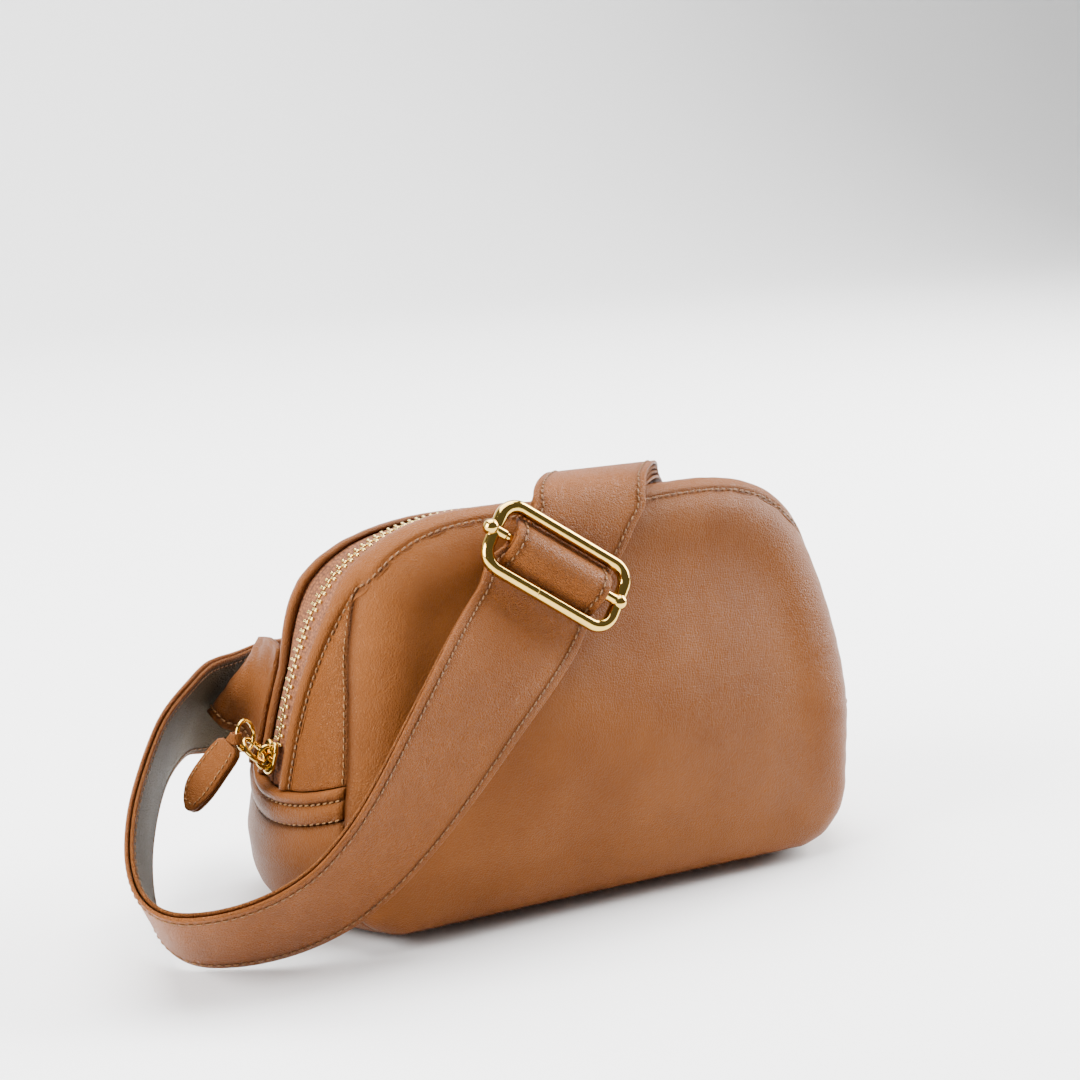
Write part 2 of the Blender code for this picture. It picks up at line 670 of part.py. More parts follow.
def wing_rows(side):
    """Middle surface of a wing: it leaves the rear seam, flares out low down and curls round behind."""
    rows = [
        ((-96.6, 36.4, 49.4), (-92.4, 26.6, 88.6)),
        ((-100.0, 39.4, 51.2), (-93.0, 32.0, 86.0)),
        ((-103.2, 43.0, 53.6), (-92.6, 37.6, 83.0)),
    ]
    if side < 0.0:
        rows += [
            ((-104.6, 47.4, 55.6), (-91.2, 43.0, 81.0)),
            ((-103.6, 52.4, 55.6), (-88.8, 48.0, 80.2)),
            ((-98.6, 56.8, 51.4), (-85.0, 52.6, 80.0)),
            ((-90.4, 59.0, 46.4), (-83.4, 56.6, 80.0)),
            ((-78.4, 59.4, 42.6), (-74.4, 58.2, 80.0)),
        ]
    else:
        rows += [
            ((-104.2, 47.4, 54.6), (-93.0, 43.0, 80.0)),
            ((-101.0, 52.4, 53.0), (-93.0, 48.0, 77.6)),
            ((-94.0, 56.2, 51.4), (-92.6, 52.6, 75.6)),
            ((-81.0, 58.2, 50.0), (-92.0, 56.6, 74.2)),
            ((-66.4, 58.2, 49.2), (-90.0, 58.2, 70.4)),
        ]
    line = spline([np.r_[low, high] for low, high in rows], 18)
    share = np.linspace(0.0, 1.0, 5)
    middle = line[:, None, :3] * (1.0 - share[None, :, None]) + line[:, None, 3:] * share[None, :, None]
    middle = middle * [-side, 1.0, 1.0]
    heights = np.linspace(51.0, 88.0, 5)
    lengths = np.array([length_at_height(h, side) for h in heights])
    for k, (v, mix) in enumerate(((0.93, 1.0), (1.04, 0.75), (1.12, 0.35))):
        follow = body_point(lengths, np.full(5, v), WING_THICK / 2.0 + 1.0)
        middle[k] = middle[k] * (1.0 - mix) + follow * mix
    return middle


def build_wings():
    half = WING_THICK / 2.0
    for word, side in (("left", -1.0), ("right", 1.0)):
        middle = wing_rows(side)
        normal = unit(np.cross(np.gradient(middle, axis=1), np.gradient(middle, axis=0)))
        sheet_solid("wing_" + word, middle + normal * half, middle - normal * half, LEATHER)


def strap_stations():
    """Centre line and width direction of the long strap, from the left wing to the buckle."""
    rows = [
        ((-80.0, 63.6, 54.4), (0.00, -0.05, 1.00)),
        ((-91.5, 63.0, 54.2), (0.03, -0.28, 0.95)),
        ((-104.4, 57.4, 55.6), (-0.02, -0.50, 0.85)),
        ((-116.4, 44.0, 56.0), (-0.14, -0.62, 0.77)),
        ((-128.5, 30.0, 52.5), (-0.21, -0.63, 0.75)),
        ((-141.0, 12.0, 43.3), (-0.28, -0.64, 0.71)),
        ((-149.5, -4.0, 34.5), (-0.35, -0.64, 0.68)),
        ((-153.3, -16.0, 26.3), (-0.40, -0.63, 0.67)),
        ((-153.2, -26.0, 20.0), (-0.42, -0.62, 0.67)),
        ((-148.5, -33.5, 16.4), (-0.41, -0.62, 0.67)),
        ((-138.5, -39.0, 15.8), (-0.38, -0.61, 0.70)),
        ((-123.0, -44.9, 18.8), (-0.34, -0.58, 0.74)),
        ((-108.7, -49.6, 25.6), (-0.38, -0.50, 0.78)),
        ((-96.2, -52.6, 36.0), (-0.47, -0.40, 0.79)),
        ((-83.4, -52.8, 49.0), (-0.58, -0.27, 0.77)),
        ((-68.9, -50.2, 64.6), (-0.66, -0.12, 0.74)),
        ((-53.8, -46.0, 80.3), (-0.71, 0.02, 0.69)),
    ]
    return [np.r_[centre, ruling] for centre, ruling in rows]


def buckle_axes():
    up = unit(np.array(BUCKLE_UP))
    long = np.array(BUCKLE_LONG) - up * np.dot(BUCKLE_LONG, up)
    long = unit(long)
    normal = unit(np.cross(long, up))
    if normal[1] > 0.0:
        normal = -normal
    return np.array(BUCKLE_CENTRE), long, up, normal


def over_the_top():
    """Centre line and width direction of the outer strap from the buckle over the bag to the rear ring."""
    centre, long, up, normal = buckle_axes()
    level = np.array([-1.0, 0.0, 0.0])
    rows = []
    for v, n, turn in ((-17.0, -5.3, 0.0), (-12.8, -5.2, 0.05), (-9.2, -6.3, 0.15), (-1.0, -7.1, 0.4),
                       (7.5, -6.6, 0.7), (12.4, -5.5, 0.9), (18.5, -4.9, 1.0)):
        rows.append(np.r_[centre + up * v + normal * n, -long * (1.0 - turn) + level * turn])
    rows += [
        np.r_[(-3.2, -22.2, 131.4), level],
        np.r_[(0.6, -18.8, 135.4), level],
        np.r_[(5.0, -13.2, 137.4), level],
        np.r_[(10.2, -6.0, 137.6), level],
        np.r_[(16.0, 2.2, 136.4), level],
        np.r_[(21.8, 10.6, 133.6), level],
        np.r_[(27.8, 19.2, 128.6), level],
        np.r_[(34.0, 28.0, 120.6), (-1.0, 0.0, -0.10)],
        np.r_[(40.6, 36.8, 110.4), (-0.96, 0.03, -0.28)],
        np.r_[(47.2, 45.4, 99.8), (-0.88, 0.04, -0.48)],
        np.r_[(53.6, 53.0, 89.6), (-0.79, 0.03, -0.61)],
        np.r_[(59.6, 58.4, 81.2), (-0.743, 0.0, -0.669)],
        np.r_[(65.0, 59.9, 75.0), (-0.743, 0.0, -0.669)],
    ]
    return rows


def strap_lines():
    rows = np.array(strap_stations() + over_the_top())
    line = spline(rows, 120)
    return line[:, :3], unit(line[:, 3:])


def build_strap():
    centres, rulings = strap_lines()
    half = STRAP_THICK / 2.0
    ribbon("strap_outer_ply", centres, rulings, STRAP_WIDTH, half - PLY, half, STRAP_LEATHER, columns=3)
    ribbon("strap_backing_ply", centres, rulings, STRAP_WIDTH, -half, -half + PLY, STRAP_BACK, columns=3)
    top = np.array(over_the_top())
    fine = spline(top, 56)
    begin = int(np.argmin(np.linalg.norm(fine[:, :3] - top[7, :3], axis=1))) + 1
    part = fine[begin:]
    tangent = unit(np.gradient(part[:, :3], axis=0))
    normal = unit(np.cross(tangent, part[:, 3:]))
    under = part[:, :3] - normal * (STRAP_THICK + 0.4)
    turned = part[:, 3:]
    ribbon("strap_return_outer_ply", under, turned, STRAP_WIDTH, -half, -half + PLY, STRAP_LEATHER, columns=3)
    ribbon("strap_return_backing_ply", under, turned, STRAP_WIDTH, half - PLY, half, STRAP_BACK, columns=3)


def build_buckle():
    centre, long, up, normal = buckle_axes()
    hub = pivot("buckle_pivot", centre)
    path = []
    corner = np.linspace(0.0, math.pi / 2.0, 6)
    for sx, sy, start in ((1, 1, 0.0), (-1, 1, 0.5), (-1, -1, 1.0), (1, -1, 1.5)):
        middle = centre + long * sx * (BUCKLE_HALF_LONG - BUCKLE_CORNER)
        middle = middle + up * sy * (BUCKLE_HALF_SHORT - BUCKLE_CORNER)
        for t in corner:
            angle = t + start * math.pi
            path.append(middle + BUCKLE_CORNER * (long * math.cos(angle) + up * math.sin(angle)))
    tube("buckle_frame", path, BUCKLE_BAR, GOLD, hub, closed=True, sides=12, up=tuple(normal))
    reach = BUCKLE_HALF_LONG - BUCKLE_BAR - 0.3
    share = np.array([-1.0, -0.985, -0.95, -0.9, -0.86, 0.86, 0.9, 0.95, 0.985, 1.0])
    radius = np.array([0.7, 1.5, 1.8, 1.7, CENTRE_BAR, CENTRE_BAR, 1.7, 1.8, 1.5, 0.7])
    line = centre + np.outer(share * reach, long)
    tube("buckle_centre_bar", line, radius, GOLD, hub, sides=12, up=tuple(normal))
    inside = 2.0 * (reach * 0.86) - 1.0
    loop = []
    for t in np.linspace(-0.42 * math.pi, 1.42 * math.pi, 17):
        loop.append(centre + up * 2.15 * math.cos(t) + normal * 2.15 * math.sin(t))
    loop = np.array(loop)
    rulings = np.tile(long, (len(loop), 1))
    ribbon("strap_end_sleeve", loop, rulings, inside, -0.5, 0.5, STRAP_LEATHER, hub, columns=2)
    profile = [(-9.2, -3.1), (-8.0, -2.6), (-6.5, -1.3), (-5.0, 0.9), (-3.4, 3.1), (-1.7, 4.15), (0.0, 4.4),
               (1.7, 4.15), (3.4, 3.1), (5.0, 1.0), (6.4, -0.9), (7.5, -1.9), (8.2, -2.3)]
    hump = np.array([centre + up * v + normal * n for v, n in profile])
    hump = spline(hump, 27)
    taper = np.clip(np.minimum(np.arange(27), np.arange(27)[::-1]) / 4.0, 0.0, 1.0)
    thick = 0.35 + 0.6 * taper
    rulings = np.tile(-long, (27, 1))
    ribbon("strap_bridge", hump, rulings, inside, -thick, thick, STRAP_LEATHER, hub, columns=2)


def build_ring():
    """Rectangular ring between the right wing and the doubled strap, held by two leather loops."""
    centre = np.array(RING_CENTRE)
    pull = unit(np.array(RING_PULL))
    bars = np.array([-pull[2], 0.0, pull[0]])
    depth = np.array([0.0, 1.0, 0.0])
    path = []
    corner = np.linspace(0.0, math.pi / 2.0, 5)
    for sx, sz, start in ((1, 1, 0.0), (-1, 1, 0.5), (-1, -1, 1.0), (1, -1, 1.5)):
        middle = centre + pull * sx * (RING_HALF_X - 3.0) + bars * sz * (RING_HALF_Z - 3.0)
        for t in corner:
            angle = t + start * math.pi
            path.append(middle + 3.0 * (pull * math.cos(angle) + bars * math.sin(angle)))
    tube("strap_ring", path, RING_BAR, GOLD, closed=True, sides=8, up=tuple(depth))
    reach = RING_BAR + 0.4 + PLY / 2.0
    for name, side, width in (("strap_ring_loop", -1.0, STRAP_WIDTH - 2.0), ("wing_ring_loop", 1.0, 34.0)):
        bar = centre + pull * side * RING_HALF_X
        tail = bar + pull * side * 4.2
        loop = [tail - depth * 1.2]
        for t in np.linspace(-0.5 * math.pi, 0.5 * math.pi, 9):
            loop.append(bar - pull * side * reach * math.cos(t) + depth * reach * math.sin(t))
        loop.append(tail + depth * 1.2)
        rulings = np.tile(bars, (len(loop), 1))
        ribbon(name, np.array(loop), rulings, width, -PLY / 2.0, PLY / 2.0, LEATHER, columns=2)


def main():
    clean_scene()
    build_faces()
    build_sides()
    build_base_board()
    build_pocket()
    build_teeth()
    bridge = build_slider()
    ring = build_pull(bridge)
    build_tab(ring)
    build_wings()
    build_strap()
    build_buckle()
    build_ring()


main()
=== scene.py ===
from math import asin, copysign, cos, pi, sin

import bmesh
import bpy
import numpy as np
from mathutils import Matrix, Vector


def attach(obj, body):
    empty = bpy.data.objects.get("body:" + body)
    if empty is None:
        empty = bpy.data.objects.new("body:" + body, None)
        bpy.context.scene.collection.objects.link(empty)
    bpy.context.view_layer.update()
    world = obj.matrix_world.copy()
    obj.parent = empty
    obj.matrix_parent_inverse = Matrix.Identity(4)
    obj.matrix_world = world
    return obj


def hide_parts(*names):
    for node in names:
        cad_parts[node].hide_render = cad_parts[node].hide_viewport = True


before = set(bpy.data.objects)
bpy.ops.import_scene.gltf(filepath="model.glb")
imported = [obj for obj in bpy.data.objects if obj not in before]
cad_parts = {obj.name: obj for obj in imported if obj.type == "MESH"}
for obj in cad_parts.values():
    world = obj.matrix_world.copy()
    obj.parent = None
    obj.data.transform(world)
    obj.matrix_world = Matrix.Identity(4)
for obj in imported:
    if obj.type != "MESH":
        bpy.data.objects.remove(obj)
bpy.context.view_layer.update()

MM = 0.001
GAP = 0.4
# Bag outline, seen from the front: a soft arch over rounded lower corners.
HALF_WIDTH = 95.0
SEAM_TOP = 131.0
ARCH_FOOT = 8.0
SHOULDER_LEFT = 4.0
SHOULDER_RIGHT = 5.2
SEAM_BOTTOM = 3.0
LOWER_CORNER = 20.0
LOWER_CORNER_TOP = 40.0
OUTLINE_CENTRE = 62.0
# Depth of the seams from the middle plane, and how the zip ridge stands out from them.
BASE_HALF_DEPTH = 34.0
TOP_HALF_DEPTH = 12.0
TAPER_START = 45.0
TAPER_END = 125.0
RIDGE_AT_BAND = 10.5
RIDGE_START = 50.0
RIDGE_END = 125.0
RIDGE_AT_TOP = -0.6
REAR_DROP = 6.0
BASE_BULGE = 13.0
BASE_PRESS = 2.5
BAND_SAG = 8.0
# Leather and fabric thicknesses.
PANEL_THICK = 1.8
WING_THICK = 1.8
GUSSET_THICK = 1.8
TAPE_THICK = 0.7
TAPE_LIFT = -1.6
# Puffing of the two faces.
FRONT_ROLL = 9.0
FRONT_ROLL_DEPTH = 6.0
FRONT_DOME = 7.0
BACK_DOME = 2.5
# Zip.
BAND_TOP = 54.0
BAND_BOTTOM = 43.5
SLIDER_ROOM = 9.0
# Strap.
STRAP_WIDTH = 39.5
PLY = 1.2
PLY_GAP = 0.5
STRAP_THICK = 2.0 * PLY + PLY_GAP
# Buckle.
BUCKLE_CENTRE = (-19.8, -33.2, 113.5)
BUCKLE_LONG = (0.816, -0.198, -0.545)
BUCKLE_UP = (0.579, 0.282, 0.766)
BUCKLE_HALF_LONG = 23.9
BUCKLE_HALF_SHORT = 10.9
BUCKLE_CORNER = 6.0
BUCKLE_BAR = 2.15
CENTRE_BAR = 1.3
# Zip pull: oval link, round ring, and the leather tab's hanging direction and broad side.
PULL_RING_FACING = (-0.506, 0.855, -0.11)
# Rear ring on the right wing; its long bars lean outward with the pull of the strap.
RING_CENTRE = (72.0, 58.2, 67.2)
RING_PULL = (0.669, 0.0, -0.743)
RING_HALF_X = 3.9
RING_HALF_Z = 22.0
RING_BAR = 1.5
TOOTH_PITCH = 2.6
# A tooth's half width and half height at each distance from the tape's edge, and its section's corners.
TOOTH_SHAPE = ((-0.45, 0.3, 0.3), (-0.25, 0.52, 0.5), (0.3, 0.55, 0.55), (0.9, 0.42, 0.42), (1.3, 0.40, 0.42),
               (1.75, 0.56, 0.62), (2.35, 0.56, 0.62), (2.7, 0.36, 0.36))
TOOTH_CORNERS = ((-1.0, -0.6), (-0.6, -1.0), (0.6, -1.0), (1.0, -0.6),
                 (1.0, 0.6), (0.6, 1.0), (-0.6, 1.0), (-1.0, 0.6))
PUFF_DEPTH = 1.6
STRAP_PRESS = 2.6
# How the seams wander from the plain outline, by height.
REAR_HEIGHTS = (46.0, 58.0, 84.0, 92.0, 100.0, 108.0, 114.0, 120.0, 126.0, 130.0)
REAR_SHIFT = (0.0, -3.0, -2.5, 0.2, 2.4, 4.2, 4.2, 3.2, 1.2, 0.0)
FRONT_HEIGHTS = (48.0, 60.0, 80.0, 100.0, 112.0, 120.0)
FRONT_SHIFT = (0.0, -1.8, -3.6, -3.0, -1.0, 0.0)
# The two rolled strips beside the zip.
ROLL_INNER = 8.4
ROLL_OUTER = 14.2
# The pull as it hangs in use.
LINK_LONG = 4.4
LINK_WIDE = 3.4
TAB_RING = 4.8
RING_LEAN = (-0.05, -0.1, 1.0)
LEAF_HANG = (-0.60, 0.16, -0.785)
LEAF_FACING = (-0.74, -0.56, 0.60)

# How strongly leather shines, and the tint of its shine.
LEATHER_SHINE = 0.17
LEATHER_TINT = (1.0, 0.68, 0.42, 1.0)

# Studio.
WORLD_LIGHT = 0.15
LAMPS = (
    ("left", (-1.5, 0.0, 0.75), 85.0, (1.0, 1.2)),
    ("right", (1.4, 0.02, 0.8), 80.0, (0.9, 1.2)),
    ("top", (0.0, 0.15, 1.9), 66.0, (1.6, 1.2)),
    ("back", (0.3, 0.9, 1.7), 60.0, (1.8, 0.8)),
)
CAMERA_LENS = 73.333
CAMERA_PLACE = (-0.359192, -0.610555, 0.276788)
CAMERA_TURN = (0.5235987756, 0.2270625243)


def smooth(low, high, value):
    t = np.clip((np.asarray(value, float) - low) / (high - low), 0.0, 1.0)
    return t * t * (3.0 - 2.0 * t)


def bell(value, middle, width):
    return np.exp(-(((value - middle) / width) ** 2))


def unit(vector):
    vector = np.asarray(vector, float)
    return vector / np.linalg.norm(vector, axis=-1, keepdims=True)


def travelled(points):
    """Distance along a path to each of its points."""
    return np.r_[0.0, np.cumsum(np.linalg.norm(np.diff(points, axis=0), axis=1))]


def sampled(at, length, values):
    """Every column of values, read off at the given lengths."""
    return np.stack([np.interp(at, length, column) for column in values.T], axis=-1)


def offset(point, normal, outward, lift):
    """The point moved along its normal, on the side that faces outward."""
    flip = np.sign(np.sum(outward * normal, axis=-1, keepdims=True))
    return point + normal * flip * np.asarray(lift, float)[..., None]


def arch_side(exponent, sign, count):
    """Half of the arch, from the widest point up to the top centre."""
    start = (LOWER_CORNER_TOP - ARCH_FOOT) / (SEAM_TOP - ARCH_FOOT)
    angle = np.linspace(asin(start ** (exponent / 2.0)), pi / 2.0, count)
    across = HALF_WIDTH * np.cos(angle) ** (2.0 / exponent)
    height = ARCH_FOOT + (SEAM_TOP - ARCH_FOOT) * np.sin(angle) ** (2.0 / exponent)
    return np.c_[sign * across, height]


def make_outline():
    """Closed seam outline from the bottom centre, up the left side, over and down the right."""
    corner = np.linspace(pi / 2.0, 0.0, 24)
    centre = HALF_WIDTH - LOWER_CORNER
    low = np.c_[centre + LOWER_CORNER * np.cos(corner), SEAM_BOTTOM + LOWER_CORNER * (1.0 - np.sin(corner))]
    left_low = np.r_[[[0.0, SEAM_BOTTOM]], low * [-1.0, 1.0]]
    right_low = np.r_[[[0.0, SEAM_BOTTOM]], low][::-1]
    left = arch_side(SHOULDER_LEFT, -1.0, 400)
    right = arch_side(SHOULDER_RIGHT, 1.0, 400)[::-1][1:]
    return np.r_[left_low, left, right, right_low]


OUTLINE = make_outline()
OUTLINE_LENGTH = travelled(OUTLINE)
PERIMETER = OUTLINE_LENGTH[-1]
FLAT_MIDDLE = np.array([0.0, OUTLINE_CENTRE])
BAG_MIDDLE = np.array([0.0, 0.0, OUTLINE_CENTRE])
SIDES = (("left", -1.0), ("right", 1.0))
FACES = (("front", -1.0), ("rear", 1.0))


def outline_at(length):
    return sampled(np.mod(length, PERIMETER), OUTLINE_LENGTH, OUTLINE)


def outline_normal(length):
    step = unit(outline_at(length + 3.0) - outline_at(length - 3.0))
    return np.stack([-step[..., 1], step[..., 0]], axis=-1)


def length_at_height(height, side):
    """Distance along the outline at which one side passes a height."""
    peak = int(np.argmax(OUTLINE[:, 1]))
    if side < 0:
        return float(np.interp(height, OUTLINE[:peak, 1], OUTLINE_LENGTH[:peak]))
    return float(np.interp(-height, -OUTLINE[peak:, 1], OUTLINE_LENGTH[peak:]))


def half_depth(height):
    taper = smooth(TAPER_START, TAPER_END, height)
    return BASE_HALF_DEPTH + (TOP_HALF_DEPTH - BASE_HALF_DEPTH) * taper


def rear_drop(height, v):
    """The rear top sits lower than the front top."""
    return REAR_DROP * smooth(70.0, SEAM_TOP, height) * ((1.0 + v) / 2.0) ** 2


def ridge_offset(length):
    """How far the middle of the side surface stands out from the seams."""
    height = outline_at(length)[..., 1]
    down = -outline_normal(length)[..., 1]
    side = RIDGE_AT_BAND * (1.0 - np.clip((height - RIDGE_START) / (RIDGE_END - RIDGE_START), 0.0, 1.0))
    side = side + (BASE_BULGE - RIDGE_AT_BAND) * (1.0 - smooth(28.0, 50.0, height))
    top = RIDGE_AT_TOP * smooth(RIDGE_END - 2.0, SEAM_TOP, height)
    under = smooth(0.25, 1.0, down)
    return (side + top) * (1.0 - under) + (SEAM_BOTTOM + BASE_PRESS) * under


def seam_shift(length, v):
    """How far the sewn bag stands out from its plain outline, along the outline's normal."""
    seam = outline_at(length)
    rear = np.interp(seam[..., 1], REAR_HEIGHTS, REAR_SHIFT) * smooth(0.0, 0.7, v)
    front = np.interp(seam[..., 1], FRONT_HEIGHTS, FRONT_SHIFT) * smooth(0.3, 1.0, -np.asarray(v))
    return rear + front * (seam[..., 0] < 0.0)


def pressed(x, z):
    """The top sinks a little where the strap pulls over it."""
    return z - STRAP_PRESS * bell(x, -2.0, 40.0) * smooth(96.0, 126.0, z)


def body_raw(length, v):
    """Point of the side surface; v runs from -1 at the front seam to 1 at the rear seam."""
    seam = outline_at(length)
    normal = outline_normal(length)
    height = seam[..., 1]
    rise = 1.0 - v * v
    out = ridge_offset(length) * rise + seam_shift(length, v)
    x = seam[..., 0] + normal[..., 0] * out
    z = seam[..., 1] + normal[..., 1] * out
    sag = smooth(14.0, 40.0, height) * (1.0 - smooth(60.0, 112.0, height))
    z = z - BAND_SAG * sag * rise - rear_drop(height, v)
    z = np.where(normal[..., 1] < -0.5, np.maximum(z, 0.0), z)
    return np.stack([x, v * half_depth(height), pressed(x, z)], axis=-1)


def body_point(length, v, lift=0.0):
    """Side surface moved out along its own normal."""
    length, v = np.broadcast_arrays(np.asarray(length, float), np.asarray(v, float))
    along = body_raw(length + 0.5, v) - body_raw(length - 0.5, v)
    across = body_raw(length, v + 0.02) - body_raw(length, v - 0.02)
    point = body_raw(length, v)
    return offset(point, unit(np.cross(along, across)), point - BAG_MIDDLE, lift)


def half_arc(length):
    """Surface distance from the ridge to a seam."""
    pts = body_raw(np.asarray(length, float)[..., None], np.linspace(0.0, 1.0, 9))
    return np.sum(np.linalg.norm(np.diff(pts, axis=-2), axis=-1), axis=-1)


def face_point(rho, length, side, dome, lift=0.0):
    """Point of the puffed front (side -1) or back (side 1) face; rho is 1 on the seam."""

    def raw(r, s):
        seam = outline_at(s) + outline_normal(s) * seam_shift(s, float(side))[..., None]
        flat = FLAT_MIDDLE + (seam - FLAT_MIDDLE) * r[..., None]
        reach = np.linalg.norm(seam - FLAT_MIDDLE, axis=-1)
        inward = np.clip((1.0 - r) * reach / FRONT_ROLL, 0.0, 1.0)
        roll = FRONT_ROLL_DEPTH * np.sqrt(np.clip(1.0 - (1.0 - inward) ** 2, 0.0, 1.0))
        depth = half_depth(flat[..., 1]) + roll + dome * (1.0 - r ** 2)
        tall = pressed(flat[..., 0], flat[..., 1] - rear_drop(flat[..., 1], side))
        return np.stack([flat[..., 0], side * depth, tall], axis=-1)

    rho, length = np.broadcast_arrays(np.asarray(rho, float), np.asarray(length, float))
    point = raw(rho, length)
    radial = raw(np.clip(rho + 0.004, 0.02, 1.0), length) - raw(np.clip(rho - 0.004, 0.02, 1.0), length)
    clear = np.maximum(rho, 0.02)
    around = raw(clear, length + 0.5) - raw(clear, length - 0.5)
    outward = unit(point - BAG_MIDDLE) + np.array([0.0, side, 0.0])
    return offset(point, unit(np.cross(radial, around)), outward, lift)


def frames_along(path, closed, up):
    """Two cross directions along a path that turn as little as possible."""
    if closed:
        tangent = unit(np.roll(path, -1, axis=0) - np.roll(path, 1, axis=0))
    else:
        tangent = unit(np.gradient(path, axis=0))
    side = np.zeros_like(path)
    previous = np.asarray(up, float)
    for i, t in enumerate(tangent):
        previous = unit(previous - t * np.dot(previous, t))
        side[i] = previous
    return side, np.cross(tangent, side)


def hermite(t, first, last, leave, reach):
    """Cubic from one value to the next with the slopes given at both ends."""
    start = first * (2 * t**3 - 3 * t**2 + 1) + leave * (t**3 - 2 * t**2 + t)
    return start + last * (3 * t**2 - 2 * t**3) + reach * (t**3 - t**2)


def spline(points, count):
    """Smooth curve through the points, sampled evenly along its length."""
    points = np.asarray(points, float)
    span = np.r_[0.0, np.cumsum(np.linalg.norm(np.diff(points[:, :3], axis=0), axis=1) ** 0.6)]
    slope = np.gradient(points, span, axis=0)
    fine = np.linspace(0.0, span[-1], 60 * len(points))
    index = np.clip(np.searchsorted(span, fine, side="right") - 1, 0, len(points) - 2)
    width = (span[index + 1] - span[index])[:, None]
    t = (fine - span[index])[:, None] / width
    dense = hermite(t, points[index], points[index + 1], width * slope[index], width * slope[index + 1])
    length = travelled(dense[:, :3])
    return sampled(np.linspace(0.0, length[-1], count), length, dense)


def seam_limit(lengths):
    return 1.0 - GAP / half_arc(lengths)


def zip_span(count):
    """Lengths along the whole zip, from band to band."""
    return np.linspace(length_at_height(BAND_TOP + GAP, -1.0), length_at_height(BAND_TOP + GAP, 1.0), count)


def zip_lengths():
    """Where the teeth begin and end."""
    start, end = zip_span(2)
    return start + SLIDER_ROOM, end - 3.0


def oval_path(centre, a, b, half_a, half_b, power):
    """Closed path round an oval; a power below one makes it more of an oblong."""
    turn = np.linspace(0.0, 2.0 * pi, 48, endpoint=False)
    c = np.sign(np.cos(turn)) * np.abs(np.cos(turn)) ** power * half_a
    s = np.sign(np.sin(turn)) * np.abs(np.sin(turn)) ** power * half_b
    return centre + np.outer(c, a) + np.outer(s, b)


def rounded_path(centre, a, b, half_a, half_b, radius, count):
    """Closed path round an oblong whose corners are quarter circles."""
    path = []
    for sa, sb, start in ((1, 1, 0.0), (-1, 1, 0.5), (-1, -1, 1.0), (1, -1, 1.5)):
        middle = centre + a * sa * (half_a - radius) + b * sb * (half_b - radius)
        for t in np.linspace(0.0, pi / 2.0, count) + start * pi:
            path.append(middle + radius * (a * cos(t) + b * sin(t)))
    return path


def wing_rows(side):
    """Middle surface of a wing: it leaves the rear seam, flares out low down and curls round behind."""
    rows = [
        (-96.6, 36.4, 49.4, -92.4, 26.6, 88.6),
        (-100.0, 39.4, 51.2, -93.0, 32.0, 86.0),
        (-103.2, 43.0, 53.6, -90.4, 37.6, 83.0),
    ]
    if side < 0.0:
        rows += [
            (-104.6, 47.4, 55.6, -87.4, 43.0, 81.0),
            (-103.6, 52.4, 55.6, -84.6, 48.0, 79.0),
            (-98.6, 56.8, 51.4, -80.6, 52.6, 77.0),
            (-90.4, 59.0, 46.4, -78.0, 56.6, 76.0),
            (-78.4, 59.4, 42.6, -70.4, 58.2, 75.5),
        ]
    else:
        rows += [
            (-104.2, 47.4, 54.6, -93.0, 43.0, 80.0),
            (-101.0, 52.4, 53.0, -93.0, 48.0, 77.6),
            (-94.0, 56.2, 51.4, -92.6, 52.6, 75.6),
            (-81.0, 58.2, 50.0, -92.0, 56.6, 74.2),
            (-66.4, 58.2, 49.2, -90.0, 58.2, 70.4),
        ]
    line = spline(rows, 18)
    share = np.linspace(0.0, 1.0, 5)
    middle = line[:, None, :3] * (1.0 - share[None, :, None]) + line[:, None, 3:] * share[None, :, None]
    middle = middle * [-side, 1.0, 1.0]
    heights = np.linspace(51.0, 88.0, 5)
    lengths = np.array([length_at_height(h, side) for h in heights])
    for k, (v, mix) in enumerate(((0.60, 1.0), (0.80, 0.85), (0.98, 0.45))):
        follow = body_point(lengths, np.full(5, v), WING_THICK / 2.0 + 1.0)
        middle[k] = middle[k] * (1.0 - mix) + follow * mix
    return middle


def strap_stations():
    """Centre line and width direction of the long strap, from the left wing to the buckle."""
    rows = [
        (-80.0, 63.6, 54.4, 0.00, -0.05, 1.00),
        (-91.5, 63.0, 54.2, 0.03, -0.28, 0.95),
        (-104.4, 57.4, 55.6, -0.02, -0.50, 0.85),
        (-116.4, 44.0, 56.0, -0.14, -0.62, 0.77),
        (-128.5, 30.0, 52.5, -0.21, -0.63, 0.75),
        (-141.0, 12.0, 43.3, -0.28, -0.64, 0.71),
        (-149.5, -4.0, 34.5, -0.35, -0.64, 0.68),
        (-153.3, -16.0, 26.3, -0.40, -0.63, 0.67),
        (-153.2, -26.0, 20.0, -0.42, -0.62, 0.67),
        (-148.5, -33.5, 16.4, -0.41, -0.62, 0.67),
        (-138.5, -39.0, 15.8, -0.38, -0.61, 0.70),
        (-123.0, -44.9, 18.8, -0.34, -0.58, 0.74),
        (-108.7, -49.6, 25.6, -0.38, -0.50, 0.78),
        (-96.2, -52.6, 36.0, -0.47, -0.40, 0.79),
        (-83.4, -52.8, 49.0, -0.58, -0.27, 0.77),
        (-68.9, -50.2, 64.6, -0.66, -0.12, 0.74),
        (-53.8, -46.0, 80.3, -0.71, 0.02, 0.69),
    ]
    return [np.array(row) for row in rows]


def buckle_axes():
    up = unit(BUCKLE_UP)
    long = unit(BUCKLE_LONG - up * np.dot(BUCKLE_LONG, up))
    normal = unit(np.cross(long, up))
    normal = normal * -np.sign(normal[1])
    return np.array(BUCKLE_CENTRE), long, up, normal


